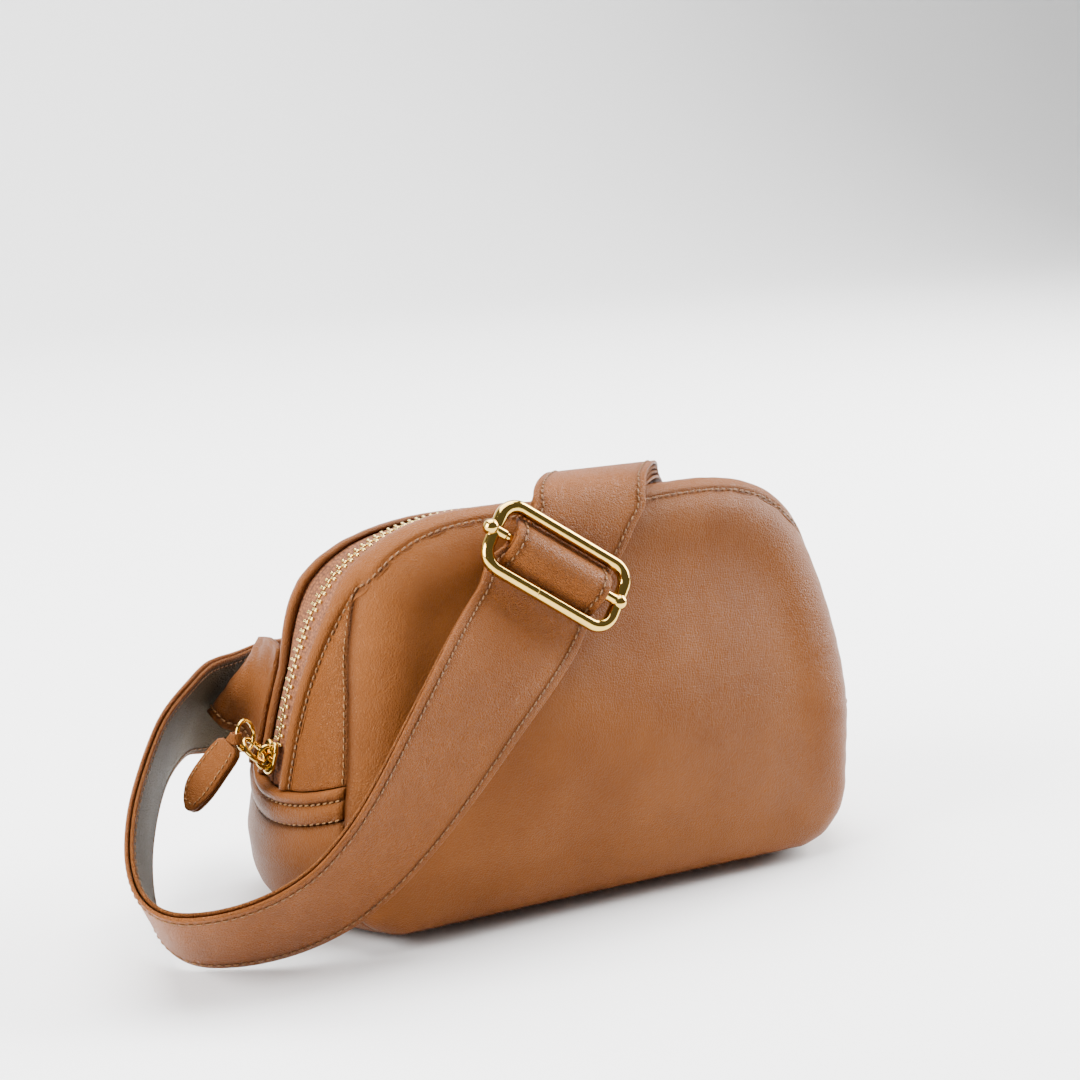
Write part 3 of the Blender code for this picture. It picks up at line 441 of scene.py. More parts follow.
def over_the_top():
    """Centre line and width direction of the outer strap from the buckle over the bag to the rear ring."""
    centre, long, up, normal = buckle_axes()
    level = np.array([-1.0, 0.0, 0.0])
    rows = []
    for v, n, turn in ((-17.0, -5.3, 0.0), (-12.8, -5.2, 0.05), (-9.2, -6.3, 0.15), (-1.0, -7.1, 0.4),
                       (7.5, -6.6, 0.7), (12.4, -5.5, 0.9), (18.5, -4.9, 1.0)):
        across = 2.8 * smooth(-1.0, 14.0, v)
        rows.append(np.r_[centre + up * v + normal * n - level * across, -long * (1.0 - turn) + level * turn])
    over = (
        ((-1.4, -22.2, 129.4), level),
        ((0.6, -18.8, 135.4), level),
        ((5.0, -13.2, 137.4), level),
        ((11.2, -6.0, 137.6), level),
        ((18.2, 2.2, 136.4), level),
        ((24.8, 10.6, 133.6), level),
        ((30.8, 19.2, 128.6), level),
        ((36.4, 28.0, 120.6), (-1.0, 0.0, -0.10)),
        ((41.8, 36.8, 110.4), (-0.96, 0.03, -0.28)),
        ((47.2, 45.4, 99.8), (-0.88, 0.04, -0.48)),
        ((53.6, 53.0, 89.6), (-0.79, 0.03, -0.61)),
        ((59.6, 58.4, 81.2), (-0.743, 0.0, -0.669)),
        ((65.0, 59.9, 75.0), (-0.743, 0.0, -0.669)),
    )
    rows += [np.r_[place, way] for place, way in over]
    for row in rows:
        row[2] = pressed(row[0], row[2])
    return rows


# Materials.


def shader(name, colour, metallic, roughness):
    mat = bpy.data.materials.new(name)
    mat.use_nodes = True
    tree = mat.node_tree
    surface = tree.nodes["Principled BSDF"]
    surface.inputs["Base Color"].default_value = (*colour, 1.0)
    surface.inputs["Metallic"].default_value = metallic
    surface.inputs["Roughness"].default_value = roughness
    return mat, tree, surface


def node(tree, kind, **values):
    made = tree.nodes.new(kind)
    for key, value in values.items():
        if hasattr(made, key):
            setattr(made, key, value)
        else:
            made.inputs[key.replace("_", " ")].default_value = value
    return made


def texture(tree, kind, **values):
    """Outputs of a texture laid out in the object's own space."""
    made = node(tree, kind, **values)
    place = node(tree, "ShaderNodeTexCoord")
    tree.links.new(place.outputs["Object"], made.inputs["Vector"])
    return made.outputs


def ranged(tree, value, low, high, start=0.0, end=1.0):
    """A value carried from one range to another."""
    made = node(tree, "ShaderNodeMapRange", From_Min=low, From_Max=high, To_Min=start, To_Max=end)
    tree.links.new(value, made.inputs["Value"])
    return made.outputs["Result"]


def mixed(tree, factor, first, second):
    """Colour between two; each is a fixed colour or a socket."""
    mix = node(tree, "ShaderNodeMix", data_type="RGBA")
    tree.links.new(factor, mix.inputs[0])
    for at, colour in ((6, first), (7, second)):
        if isinstance(colour, tuple):
            mix.inputs[at].default_value = (*colour, 1.0)
        else:
            tree.links.new(colour, mix.inputs[at])
    return mix.outputs[2]


def bumped(tree, height, strength, distance, under=None):
    """Normal raised by a height, over another normal where one is given."""
    bump = node(tree, "ShaderNodeBump", Strength=strength, Distance=distance)
    tree.links.new(height, bump.inputs["Height"])
    if under is not None:
        tree.links.new(under, bump.inputs["Normal"])
    return bump.outputs["Normal"]


def leather(name, dark, light, seam, grain=1.0, roughness=0.42, crease=0.25, rim=None):
    """Smooth calf leather: mottled colour, cell grain, fine creases, and painted shade (the seam colour)
    where the shade attribute marks stitch lines, seams and creases.
    """
    mat, tree, surface = shader(name, light, 0.0, roughness)
    mottle = texture(tree, "ShaderNodeTexNoise", Scale=26.0, Detail=3.0, Roughness=0.55)["Fac"]
    base = mixed(tree, ranged(tree, mottle, 0.33, 0.67), dark, light)
    if rim is not None:
        edge = node(tree, "ShaderNodeAttribute", attribute_name="rim")
        base = mixed(tree, edge.outputs["Fac"], base, rim)
    # seam is the painted shade colour; the shade attribute says how much of it to mix in.
    shade = node(tree, "ShaderNodeAttribute", attribute_name="shade")
    tree.links.new(mixed(tree, shade.outputs["Fac"], base, seam), surface.inputs["Base Color"])
    cells = texture(tree, "ShaderNodeTexVoronoi", feature="DISTANCE_TO_EDGE", Scale=1250.0, Randomness=1.0)
    pebbles = texture(tree, "ShaderNodeTexNoise", Scale=620.0, Detail=2.0, Roughness=0.6)
    folds = texture(tree, "ShaderNodeTexNoise", Scale=70.0, Detail=4.0, Roughness=0.6, Distortion=0.4)
    bump = bumped(tree, ranged(tree, cells["Distance"], 0.0, 0.22), 0.9 * grain, 0.0003)
    bump = bumped(tree, pebbles["Fac"], 0.7 * grain, 0.0004, bump)
    bump = bumped(tree, folds["Fac"], crease, 0.0010, bump)
    tree.links.new(bump, surface.inputs["Normal"])
    surface.inputs["Specular IOR Level"].default_value = LEATHER_SHINE
    surface.inputs["Specular Tint"].default_value = LEATHER_TINT
    return mat


def metal(name, colour, roughness):
    """Polished plate, a little cloudy."""
    mat, tree, surface = shader(name, colour, 1.0, roughness)
    cloud = texture(tree, "ShaderNodeTexNoise", Scale=180.0, Detail=2.0)["Fac"]
    cloudy = ranged(tree, cloud, 0.0, 1.0, roughness * 0.75, roughness * 1.4)
    tree.links.new(cloudy, surface.inputs["Roughness"])
    return mat


def woven(name, dark, light, pitch, roughness=0.85):
    """Woven cloth or thread: close-set rounded knots, with painted shade darkening the gaps between them."""
    mat, tree, surface = shader(name, light, 0.0, roughness)
    knots = texture(tree, "ShaderNodeTexVoronoi", Scale=1.0 / pitch, Randomness=0.55)["Distance"]
    height = ranged(tree, knots, 0.75, 0.1)
    # Painted shade: the low places between knots take the dark colour.
    tree.links.new(mixed(tree, height, dark, light), surface.inputs["Base Color"])
    tree.links.new(bumped(tree, height, 0.8, 0.0003), surface.inputs["Normal"])
    return mat


# The last of these three colours is the painted shade for seams, grooves and creases.
TAN_DARK = (0.126, 0.037, 0.0072)
TAN_LIGHT = (0.162, 0.051, 0.0115)
TAN_PAINTED_SHADE = (0.034, 0.009, 0.002)
TAN = leather("visual_tan_leather", TAN_DARK, TAN_LIGHT, TAN_PAINTED_SHADE, grain=0.55)
CRINKLED = leather("visual_tan_crinkled", TAN_DARK, TAN_LIGHT, TAN_PAINTED_SHADE, grain=0.9, crease=0.7)
STRAP = leather("visual_strap_leather", (0.158, 0.047, 0.0100), (0.203, 0.064, 0.0155), TAN_PAINTED_SHADE, grain=1.1)
# The backing's third colour is its painted shade colour.
BACKING = leather("visual_strap_backing", (0.050, 0.037, 0.019), (0.080, 0.061, 0.034), (0.014, 0.010, 0.006),
                  grain=1.5, roughness=0.62, rim=TAN_LIGHT)
CLOTH = woven("visual_zip_tape", (0.075, 0.021, 0.005), (0.24, 0.078, 0.020), 0.0010)
INSIDE = woven("visual_lining", (0.14, 0.09, 0.06), (0.20, 0.13, 0.09), 0.0011)
CARD = woven("visual_base_card", (0.055, 0.045, 0.034), (0.085, 0.070, 0.055), 0.0022, 0.9)
GOLD = metal("visual_gold", (0.66, 0.43, 0.10), 0.10)
TOOTH_GOLD = metal("visual_tooth_gold", (0.78, 0.55, 0.19), 0.2)
THREAD = woven("visual_thread", (0.16, 0.065, 0.016), (0.40, 0.19, 0.055), 0.0005, 0.6)
DARK_THREAD = woven("visual_dark_thread", (0.090, 0.034, 0.008), (0.32, 0.14, 0.038), 0.0005, 0.6)


# Building pieces.


def placed(name, data):
    obj = bpy.data.objects.new(name, data)
    bpy.context.scene.collection.objects.link(obj)
    return obj


def aimed(obj, place, way):
    """Puts a lamp or camera at a place, looking one way."""
    obj.location = place
    obj.rotation_euler = Vector(way).to_track_quat("-Z", "Y").to_euler()


def piece(name, verts, faces, mat, hides=(), shade=None, rim=None, body="bag", slot=None):
    """Closed mesh in millimetres as an object on its body, in place of the nodes it hides."""
    mesh = bpy.data.meshes.new(name)
    mesh.from_pydata((np.asarray(verts, float) * MM).tolist(), [], [tuple(f) for f in faces])
    work = bmesh.new()
    work.from_mesh(mesh)
    bmesh.ops.recalc_face_normals(work, faces=work.faces)
    if work.calc_volume(signed=True) < 0.0:
        bmesh.ops.reverse_faces(work, faces=work.faces)
    work.to_mesh(mesh)
    work.free()
    mesh.polygons.foreach_set("use_smooth", [True] * len(mesh.polygons))
    for key, values in (("shade", shade), ("rim", rim)):
        if values is not None:
            layer = mesh.attributes.new(key, "FLOAT", "POINT")
            layer.data.foreach_set("value", np.clip(values, 0.0, 1.0).astype(np.float32))
    mesh.materials.append(mat)
    obj = placed(name, mesh)
    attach(obj, body)
    if hides:
        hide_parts(*hides)


def swept(rows, closed=False):
    """Faces of a sweep: rows of closed profiles, capped at both ends unless closed along its length."""
    count, sides = rows.shape[:2]
    faces = []
    for i in range(count if closed else count - 1):
        k = (i + 1) % count
        for j in range(sides):
            m = (j + 1) % sides
            faces.append((i * sides + j, i * sides + m, k * sides + m, k * sides + j))
    if not closed:
        faces.append(tuple(range(sides))[::-1])
        faces.append(tuple(range((count - 1) * sides, count * sides)))
    return rows.reshape(-1, 3), faces


def edge_round(count, low, high, width, radius, dips=(), depth=0.25, spread=0.55):
    """Profile of a flat strip as (across, height, shade): round edges, and stitch grooves on its upper side
    with painted shade in them.
    """
    half = width / 2.0
    mid = (low + high) / 2.0
    tall = (high - low) / 2.0
    close = np.array([-1.2, -0.5, 0.0, 0.5, 1.2]) * spread
    across = np.sort(np.r_[np.linspace(-half + radius, half - radius, count), *[d + close for d in dips]])
    groove = np.zeros(len(across))
    for d in dips:
        groove = np.maximum(groove, np.exp(-((across - d) / spread) ** 2))
    # Painted shade in the stitch grooves.
    upper = np.c_[across, high - depth * groove, 0.55 * groove]
    turn = np.linspace(pi / 2.0, -pi / 2.0, 7)[1:-1]
    right = np.c_[half - radius + radius * np.cos(turn), mid + tall * np.sin(turn), np.zeros(5)]
    lower = np.c_[np.linspace(half - radius, -half + radius, 5), np.full(5, low), np.zeros(5)]
    left = right[::-1] * [-1.0, 1.0, 1.0]
    return np.r_[upper, right, lower, left]


def strip_axes(centres, rulings):
    """Width and face directions along a band whose rulings may be oblique."""
    rulings = unit(rulings)
    crossed = np.cross(unit(np.gradient(centres, axis=0)), rulings)
    square = np.linalg.norm(crossed, axis=1, keepdims=True)
    return rulings / np.maximum(square, 0.93), crossed / square


def band(name, centres, rulings, profile, mat, hides, **where):
    """Sweeps a profile along a band."""
    across, normal = strip_axes(centres, rulings)
    rows = centres[:, None] + across[:, None] * profile[:, 0:1] + normal[:, None] * profile[:, 1:2]
    reach = np.abs(profile[:, 0])
    rim = np.tile(reach > reach.max() - 0.75, len(centres)).astype(float)
    piece(name, *swept(rows), mat, hides, np.tile(profile[:, 2], len(centres)), rim, **where)


def rod(name, path, radius, hides, up, sides, closed=False, body="bag"):
    """Round metal bar along a path."""
    path = np.asarray(path, float)
    a, b = frames_along(path, closed, up)
    turn = np.linspace(0.0, 2.0 * pi, sides, endpoint=False)[None, :, None]
    radius = np.broadcast_to(np.asarray(radius, float), (len(path),))[:, None, None]
    rows = path[:, None] + radius * (np.cos(turn) * a[:, None] + np.sin(turn) * b[:, None])
    piece(name, *swept(rows, closed), GOLD, hides, body=body)


def stitch_run(points, normals, pitch=2.5, long=0.95, thick=0.31):
    """Verts and faces of a row of thread stitches along a line, each leaning a little."""
    length = travelled(points)
    count = max(int(length[-1] / pitch), 1)
    at = (np.arange(count) + 0.5) * length[-1] / count
    normals = unit(sampled(at, length, normals))
    along = unit(sampled(at + 0.4, length, points) - sampled(at - 0.4, length, points))
    side = unit(np.cross(normals, along))
    along = unit(along + side * 0.12)
    verts = []
    faces = []
    for m, a, s, n in zip(sampled(at, length, points), along, side, normals):
        start = len(verts)
        for share, fat in ((-0.86, 0.75), (-0.4, 1.0), (0.4, 1.0), (0.86, 0.75)):
            bow = 0.16 * (1.0 - share * share) + thick * 0.35
            for t in np.linspace(0.0, 2.0 * pi, 6, endpoint=False):
                verts.append(m + a * share * long + n * bow + (s * cos(t) + n * sin(t)) * thick * fat)
        verts += [m - a * long, m + a * long]
        for j in range(6):
            k = (j + 1) % 6
            for near in (start, start + 6, start + 12):
                faces.append((near + j, near + k, near + 6 + k, near + 6 + j))
            faces.append((start + 24, start + k, start + j))
            faces.append((start + 25, start + 18 + j, start + 18 + k))
    return verts, faces


def merged(parts):
    """Verts and faces of several shapes as one."""
    verts = []
    faces = []
    for more, shapes in parts:
        faces += [tuple(k + len(verts) for k in f) for f in shapes]
        verts += list(more)
    return verts, faces


def stitches(name, runs, mat=None, **where):
    """One piece of thread from several stitch lines."""
    piece(name, *merged(stitch_run(*line, **options) for *line, options in runs), mat or THREAD, **where)


def plate(outer, inner, wrap=False):
    """Closed sheet between two grids; with wrap the rows are rings and the last row ends in a cap."""
    rows, cols = outer.shape[:2]
    base = rows * cols
    last = base - cols
    faces = []
    for j in range(cols if wrap else cols - 1):
        k = (j + 1) % cols
        for i in range(0, last, cols):
            quad = (i + j, i + k, i + cols + k, i + cols + j)
            faces += [quad, tuple(base + q for q in quad[::-1])]
        faces.append((k, j, base + j, base + k))
        if not wrap:
            faces.append((last + j, last + k, base + last + k, base + last + j))
    if wrap:
        faces += [tuple(range(last, base)), tuple(range(base + base - 1, base + last - 1, -1))]
    else:
        for i in range(0, last, cols):
            end = i + cols - 1
            faces.append((i, i + cols, base + i + cols, base + i))
            faces.append((end + cols, end, base + end, base + end + cols))
    return np.r_[outer.reshape(-1, 3), inner.reshape(-1, 3)], faces


def ripple(points, size, depth, seed):
    """Small smooth random height for each point, the same on every run."""
    rng = np.random.default_rng(seed)
    total = np.zeros(points.shape[:-1])
    for octave in range(3):
        for _ in range(5):
            way = unit(rng.normal(size=3))
            phase = rng.uniform(0.0, 2.0 * pi)
            total += np.sin(points @ way * (2.0 * pi / size) * 1.7**octave + phase) / (5.0 * 1.6**octave)
    return total * depth


# Bag shell.


def build_face(name, side, dome, hides, count):
    """Puffed panel; its rows lie close together near the seam."""
    samples = np.linspace(0.0, PERIMETER, count, endpoint=False)
    seam = outline_at(samples)
    reach = np.linalg.norm(seam - FLAT_MIDDLE, axis=-1)
    near = np.array([0.0, 0.5, 1.1, 1.8, 2.6, 3.4, 4.2, 5.0, 6.0, 7.2, 8.6, 10.4, 12.6, 15.4, 19.0])
    rho_near = 1.0 - near[:, None] / reach[None, :]
    rho = np.r_[rho_near, rho_near[-1:] * (1.0 - np.linspace(0.0, 1.0, 26)[1:-1, None])]
    inward = (1.0 - rho) * reach[None, :]
    grid = np.broadcast_to(samples[None, :], rho.shape)
    lift = PUFF_DEPTH * np.sin(np.clip(inward / 26.0, 0.0, 1.0) * pi) ** 2
    height = seam[None, :, 1]
    lift = lift * (0.5 + 0.5 * smooth(20.0, 60.0, height))
    pull = np.sin(samples * 2.0 * pi / 9.5 + 2.0 * np.sin(samples / 23.0))
    lift = lift + 0.16 * pull[None, :] * np.exp(-inward / 7.0) * np.clip(inward / 2.0, 0.0, 1.0)
    plain = face_point(rho, grid, side, dome)
    edge = smooth(0.0, 14.0, inward)
    lift = lift + (ripple(plain, 74.0, 0.75, 3) + ripple(plain, 27.0, 0.18, 5)) * edge
    outer = face_point(rho, grid, side, dome, 1e-6 + lift)
    inner = face_point(rho, grid, side, dome, -PANEL_THICK)
    # Painted shade along the seam, weaker low down; the inner face gets an even painted shade.
    shade = np.exp(-inward / 0.7) * (0.25 + 0.6 * smooth(30.0, 50.0, height))
    shade = np.r_[shade.ravel(), np.full(shade.size, 0.5)]
    piece(name, *plate(outer, inner, wrap=True), TAN, hides, shade)


def side_grid(lengths, v_low, v_high, columns):
    mix = np.linspace(0.0, 1.0, columns)[None, :]
    v = v_low[:, None] * (1.0 - mix) + v_high[:, None] * mix
    return np.broadcast_to(lengths[:, None], v.shape), v


def side_piece(name, lengths, v_low, v_high, columns, lift, mat, hides, shade):
    """Sheet of leather on the side surface."""
    grid, v = side_grid(lengths, v_low, v_high, columns)
    # The inner face gets an even painted shade.
    shade = np.r_[np.broadcast_to(shade, v.shape).ravel(), np.full(v.size, 0.4)]
    piece(name, *plate(body_point(grid, v, lift), body_point(grid, v, -GUSSET_THICK)), mat, hides, shade)


def surface_normal(length, v):
    return unit(body_point(length, v, 1.0) - body_point(length, v, 1e-6))


def side_line(lengths, v, lift):
    return body_point(lengths, v, lift), surface_normal(lengths, v)


def build_base():
    start = length_at_height(BAND_BOTTOM, 1.0)
    end = length_at_height(BAND_BOTTOM, -1.0) + PERIMETER
    lengths = np.linspace(start, end, 150)
    edge = seam_limit(lengths)
    grid, v = side_grid(lengths, -edge, edge, 41)
    plain = body_point(grid, v, 0.0)
    near = np.minimum(lengths - start, end - lengths)[:, None]
    tuck = bell(near, 0.0, 1.6)
    side = (1.0 - np.abs(v)) * half_arc(lengths)[:, None]
    seam = np.exp(-side / 1.4)
    stand = smooth(3.0, 12.0, plain[..., 2])
    lift = stand * (0.9 * np.sin(np.clip(near / 22.0, 0.0, 1.0) * pi) + ripple(plain, 30.0, 0.35, 11))
    lift = lift - 0.7 * tuck - 0.3 * seam
    # Painted shade at the tucked ends and along the seams.
    side_piece("base_leather", lengths, -edge, edge, 41, lift, TAN, ["base_gusset"],
               np.maximum(0.8 * np.exp(-near / 0.8), 0.6 * seam))


def build_bands():
    """Folded belt of leather across each side, under the end of the zip."""
    runs = []
    for word, side in SIDES:
        heights = np.linspace(BAND_BOTTOM + 0.3, BAND_TOP, 34)
        lengths = np.array([length_at_height(h, side) for h in heights])
        edge = seam_limit(lengths)
        across = np.linspace(0.0, 1.0, 34)
        roll = 1.9 * np.sqrt(np.clip(1.0 - ((across - 0.82) / 0.18) ** 2, 0.0, 1.0)) * (across > 0.62)
        belt = 1.1 * np.sin(np.clip(across / 0.58, 0.0, 1.0) * pi) ** 0.7
        lift = (0.3 + roll + belt)[:, None] * np.ones((1, 33))
        # Painted shade in the groove at the stitch line and along the belt's lower edge.
        dark = bell(across, 0.61, 0.035) + bell(across, 0.0, 0.04)
        lift = lift - 0.5 * bell(across, 0.61, 0.03)[:, None]
        grid, v = side_grid(lengths, -edge, edge, 33)
        lift = lift + ripple(body_point(grid, v, 0.0), 16.0, 0.16, 21)
        ends = smooth(0.0, 5.0, (edge[:, None] - np.abs(v)) * half_arc(lengths)[:, None])
        stand = 0.4 if side < 0.0 else 0.0
        lift = lift * (stand + (1.0 - stand) * ends)
        side_piece("side_band_leather_" + word, lengths, -edge, edge, 33, lift, TAN,
                   ["side_band_" + word], np.clip(dark, 0.0, 1.0)[:, None] * 0.85)
        v = np.linspace(-1.0, 1.0, 60) * (0.97 if side < 0.0 else 0.92)
        for share, lift_at in ((0.61, 0.25), (0.02, 0.15)):
            at = np.full(60, np.interp(share, across, lengths))
            runs.append((*side_line(at, v, lift_at), {}))
    stitches("side_band_thread", runs)


def build_wedges():
    runs = []
    for word, side in SIDES:
        foot = length_at_height(BAND_TOP + GAP, side)
        apex = length_at_height(113.0, side)
        lengths = np.linspace(foot, apex, 60)
        arc = half_arc(lengths)
        limit = seam_limit(lengths)
        inner_v = np.minimum((ROLL_OUTER - 1.6) / arc, limit - 0.7 / arc)
        under = limit + 1.1 / arc
        for place, low, high in (("front", -under, -inner_v), ("rear", inner_v, under)):
            grid, v = side_grid(lengths, low, high, 15)
            plain = body_point(grid, v, 0.0)
            seam = (limit[:, None] - np.abs(v)) * arc[:, None]
            lift = ripple(plain, 9.0, 0.16, 31) + ripple(plain, 22.0, 0.3, 33) - 0.42 * np.exp(-seam / 1.2)
            lift = lift + 0.7 * np.sin(np.linspace(0.0, pi, 15))[None, :]
            # Painted shade where the wedge tucks under at the seam.
            side_piece("side_wedge_leather_%s_%s" % (place, word), lengths, low, high, 15, lift, CRINKLED,
                       ["side_wedge_%s_%s" % (place, word)], 0.9 * np.exp(-seam / 0.9))
            sign = -1.0 if place == "front" else 1.0
            line = side_line(lengths[:54], sign * (limit - 0.9 / arc)[:54], 0.1)
            runs.append((*line, {"thick": 0.22}))
    stitches("wedge_seam_thread", runs)


def strip_point(lengths, across, sign, lift):
    """Point of a zip strip at a distance from the zip's middle; past the seam it turns over onto the face."""
    arc = half_arc(lengths)[:, None]
    across = np.broadcast_to(across, (len(lengths), across.shape[-1]))
    grid = np.broadcast_to(lengths[:, None], across.shape)
    v = np.minimum(across / arc, 0.995) * sign
    on_side = body_point(grid, v, lift)
    reach = np.linalg.norm(outline_at(grid) - FLAT_MIDDLE, axis=-1)
    over = np.maximum(across - arc, 0.0)
    dome = FRONT_DOME if sign < 0.0 else BACK_DOME
    on_face = face_point(1.0 - over / reach, grid, sign, dome, lift)
    mix = smooth(0.0, 1.2, across - arc + 0.2)[..., None]
    return on_side * (1.0 - mix) + on_face * mix


def build_strips():
    lengths = zip_span(260)
    arc = half_arc(lengths)
    height = outline_at(lengths)[:, 1]
    cover = smooth(98.0, 124.0, height)
    far = np.minimum(ROLL_OUTER * (1.0 - cover) + (arc + 3.4) * cover, arc + 3.4)
    near = ROLL_INNER - 2.0 * cover
    share = np.linspace(0.0, 1.0, 29)
    runs = []
    for word, sign in FACES:
        across = near[:, None] + (far - near)[:, None] * share[None, :] ** 0.9
        left = far[:, None] - across
        inside = across - near[:, None]
        wide = (far - near)[:, None] - 1.7
        swell = np.sqrt(np.clip(1.0 - (2.0 * np.clip(inside / wide, 0.0, 1.0) - 1.0) ** 2, 0.0, 1.0))
        lift = 0.2 + 1.75 * swell * (1.0 - 0.35 * cover[:, None]) - 0.2 * bell(left, 1.1, 0.5)
        plain = strip_point(lengths, across, sign, 1e-6)
        lift = lift + ripple(plain, 14.0, 0.14, 41) + ripple(plain, 45.0, 0.2, 43)
        sheet = plate(strip_point(lengths, across, sign, lift), strip_point(lengths, across, sign, -0.5))
        # Painted shade in the crease at the stitch line and in the gap beside the tape; the inner face gets
        # an even painted shade.
        shade = 0.75 * bell(left, 0.9, 0.5) + 0.7 * np.exp(-inside / 0.5)
        shade = np.r_[shade.ravel(), np.full(shade.size, 0.6)]
        piece("zip_strip_leather_" + word, *sheet, TAN, ["zip_strip_" + word], shade)
        line = strip_point(lengths, (far - 1.05)[:, None], sign, 0.34)[:, 0]
        above = strip_point(lengths, (far - 1.05)[:, None], sign, 1.34)[:, 0]
        runs.append((line, unit(above - line), {"thick": 0.32}))
    stitches("zip_strip_thread", runs, DARK_THREAD, slot="tan_leather")


# Zip.


def build_zip():
    lengths = zip_span(240)
    arc = half_arc(lengths)
    for word, sign in FACES:
        near = sign * 0.5 / arc
        far = sign * np.minimum((ROLL_INNER + 2.0) / arc, seam_limit(lengths) - 1.2 / arc)
        grid, v = side_grid(lengths, near, far, 9)
        lift = TAPE_LIFT + 0.6 + 0.35 * smooth(3.4, 1.6, np.abs(v) * arc[:, None])
        sheet = plate(body_point(grid, v, lift), body_point(grid, v, TAPE_LIFT - TAPE_THICK))
        piece("zip_tape_cloth_" + word, *sheet, CLOTH, ["zip_tape_" + word])
    first, last = zip_lengths()
    for word, sign, shift in (("front", -1.0, 0.0), ("rear", 1.0, 0.5)):
        count = int((last - first - 5.0) / TOOTH_PITCH)
        at = first + 3.0 + (np.arange(count) + shift) * TOOTH_PITCH
        place = body_point(at, 0.0, TAPE_LIFT + 1.15)
        out = surface_normal(at, 0.0)
        along = unit(body_point(at + 1.0, 0.0) - body_point(at - 1.0, 0.0))
        across = np.array([0.0, sign, 0.0])
        teeth = []
        for p, a, n in zip(place, along, out):
            rows = [[p + across * reach + a * wide * u + n * tall * w for u, w in TOOTH_CORNERS]
                    for reach, wide, tall in TOOTH_SHAPE]
            teeth.append(swept(np.array(rows)))
        hides = ["zip_teeth_" + word] + ["zip_end_stop"] * (word == "rear")
        piece("zip_teeth_row_" + word, *merged(teeth), TOOTH_GOLD, hides)


def build_slider_detail():
    at = zip_lengths()[0] - 1.0
    place = body_point(at, 0.0)
    along = unit(body_raw(at + 2.0, np.asarray(0.0)) - body_raw(at - 2.0, np.asarray(0.0)))
    across = np.array([0.0, 1.0, 0.0])
    outward = np.cross(across, along)
    outward = outward * -np.sign(outward[0])
    outline = [(-5.6, 0.0), (-5.0, -2.0), (-3.0, -3.6), (0.0, -4.1)]
    outline += [(3.0, -4.2), (4.9, -3.3), (5.4, -1.6), (4.4, 0.0)]
    outline += [(a, -b) for a, b in outline[-2:0:-1]]
    outline = spline(np.array([[a, b, 0.0] for a, b in outline + outline[:1]]), 41)[:-1, :2]
    rows = []
    for level, grow in ((0.9, 0.90), (1.1, 1.0), (1.9, 1.0), (2.25, 0.95), (2.4, 0.84)):
        rows.append([place + along * a * grow + across * b * grow + outward * level for a, b in outline])
    piece("slider_shell", *swept(np.array(rows)), GOLD, ["slider_body"], body="zip_slider")
    path = [place + along * 3.4 * cos(t) + outward * (2.9 + 2.75 * sin(t)) for t in np.linspace(0.0, pi, 21)]
    path = [path[0] - outward * 0.7] + path + [path[-1] - outward * 0.7]
    rod("slider_loop", path, 0.8, ["slider_bridge"], (0.0, 1.0, 0.0), 14, body="zip_slider")
    return place + outward * 3.9, along, across, outward


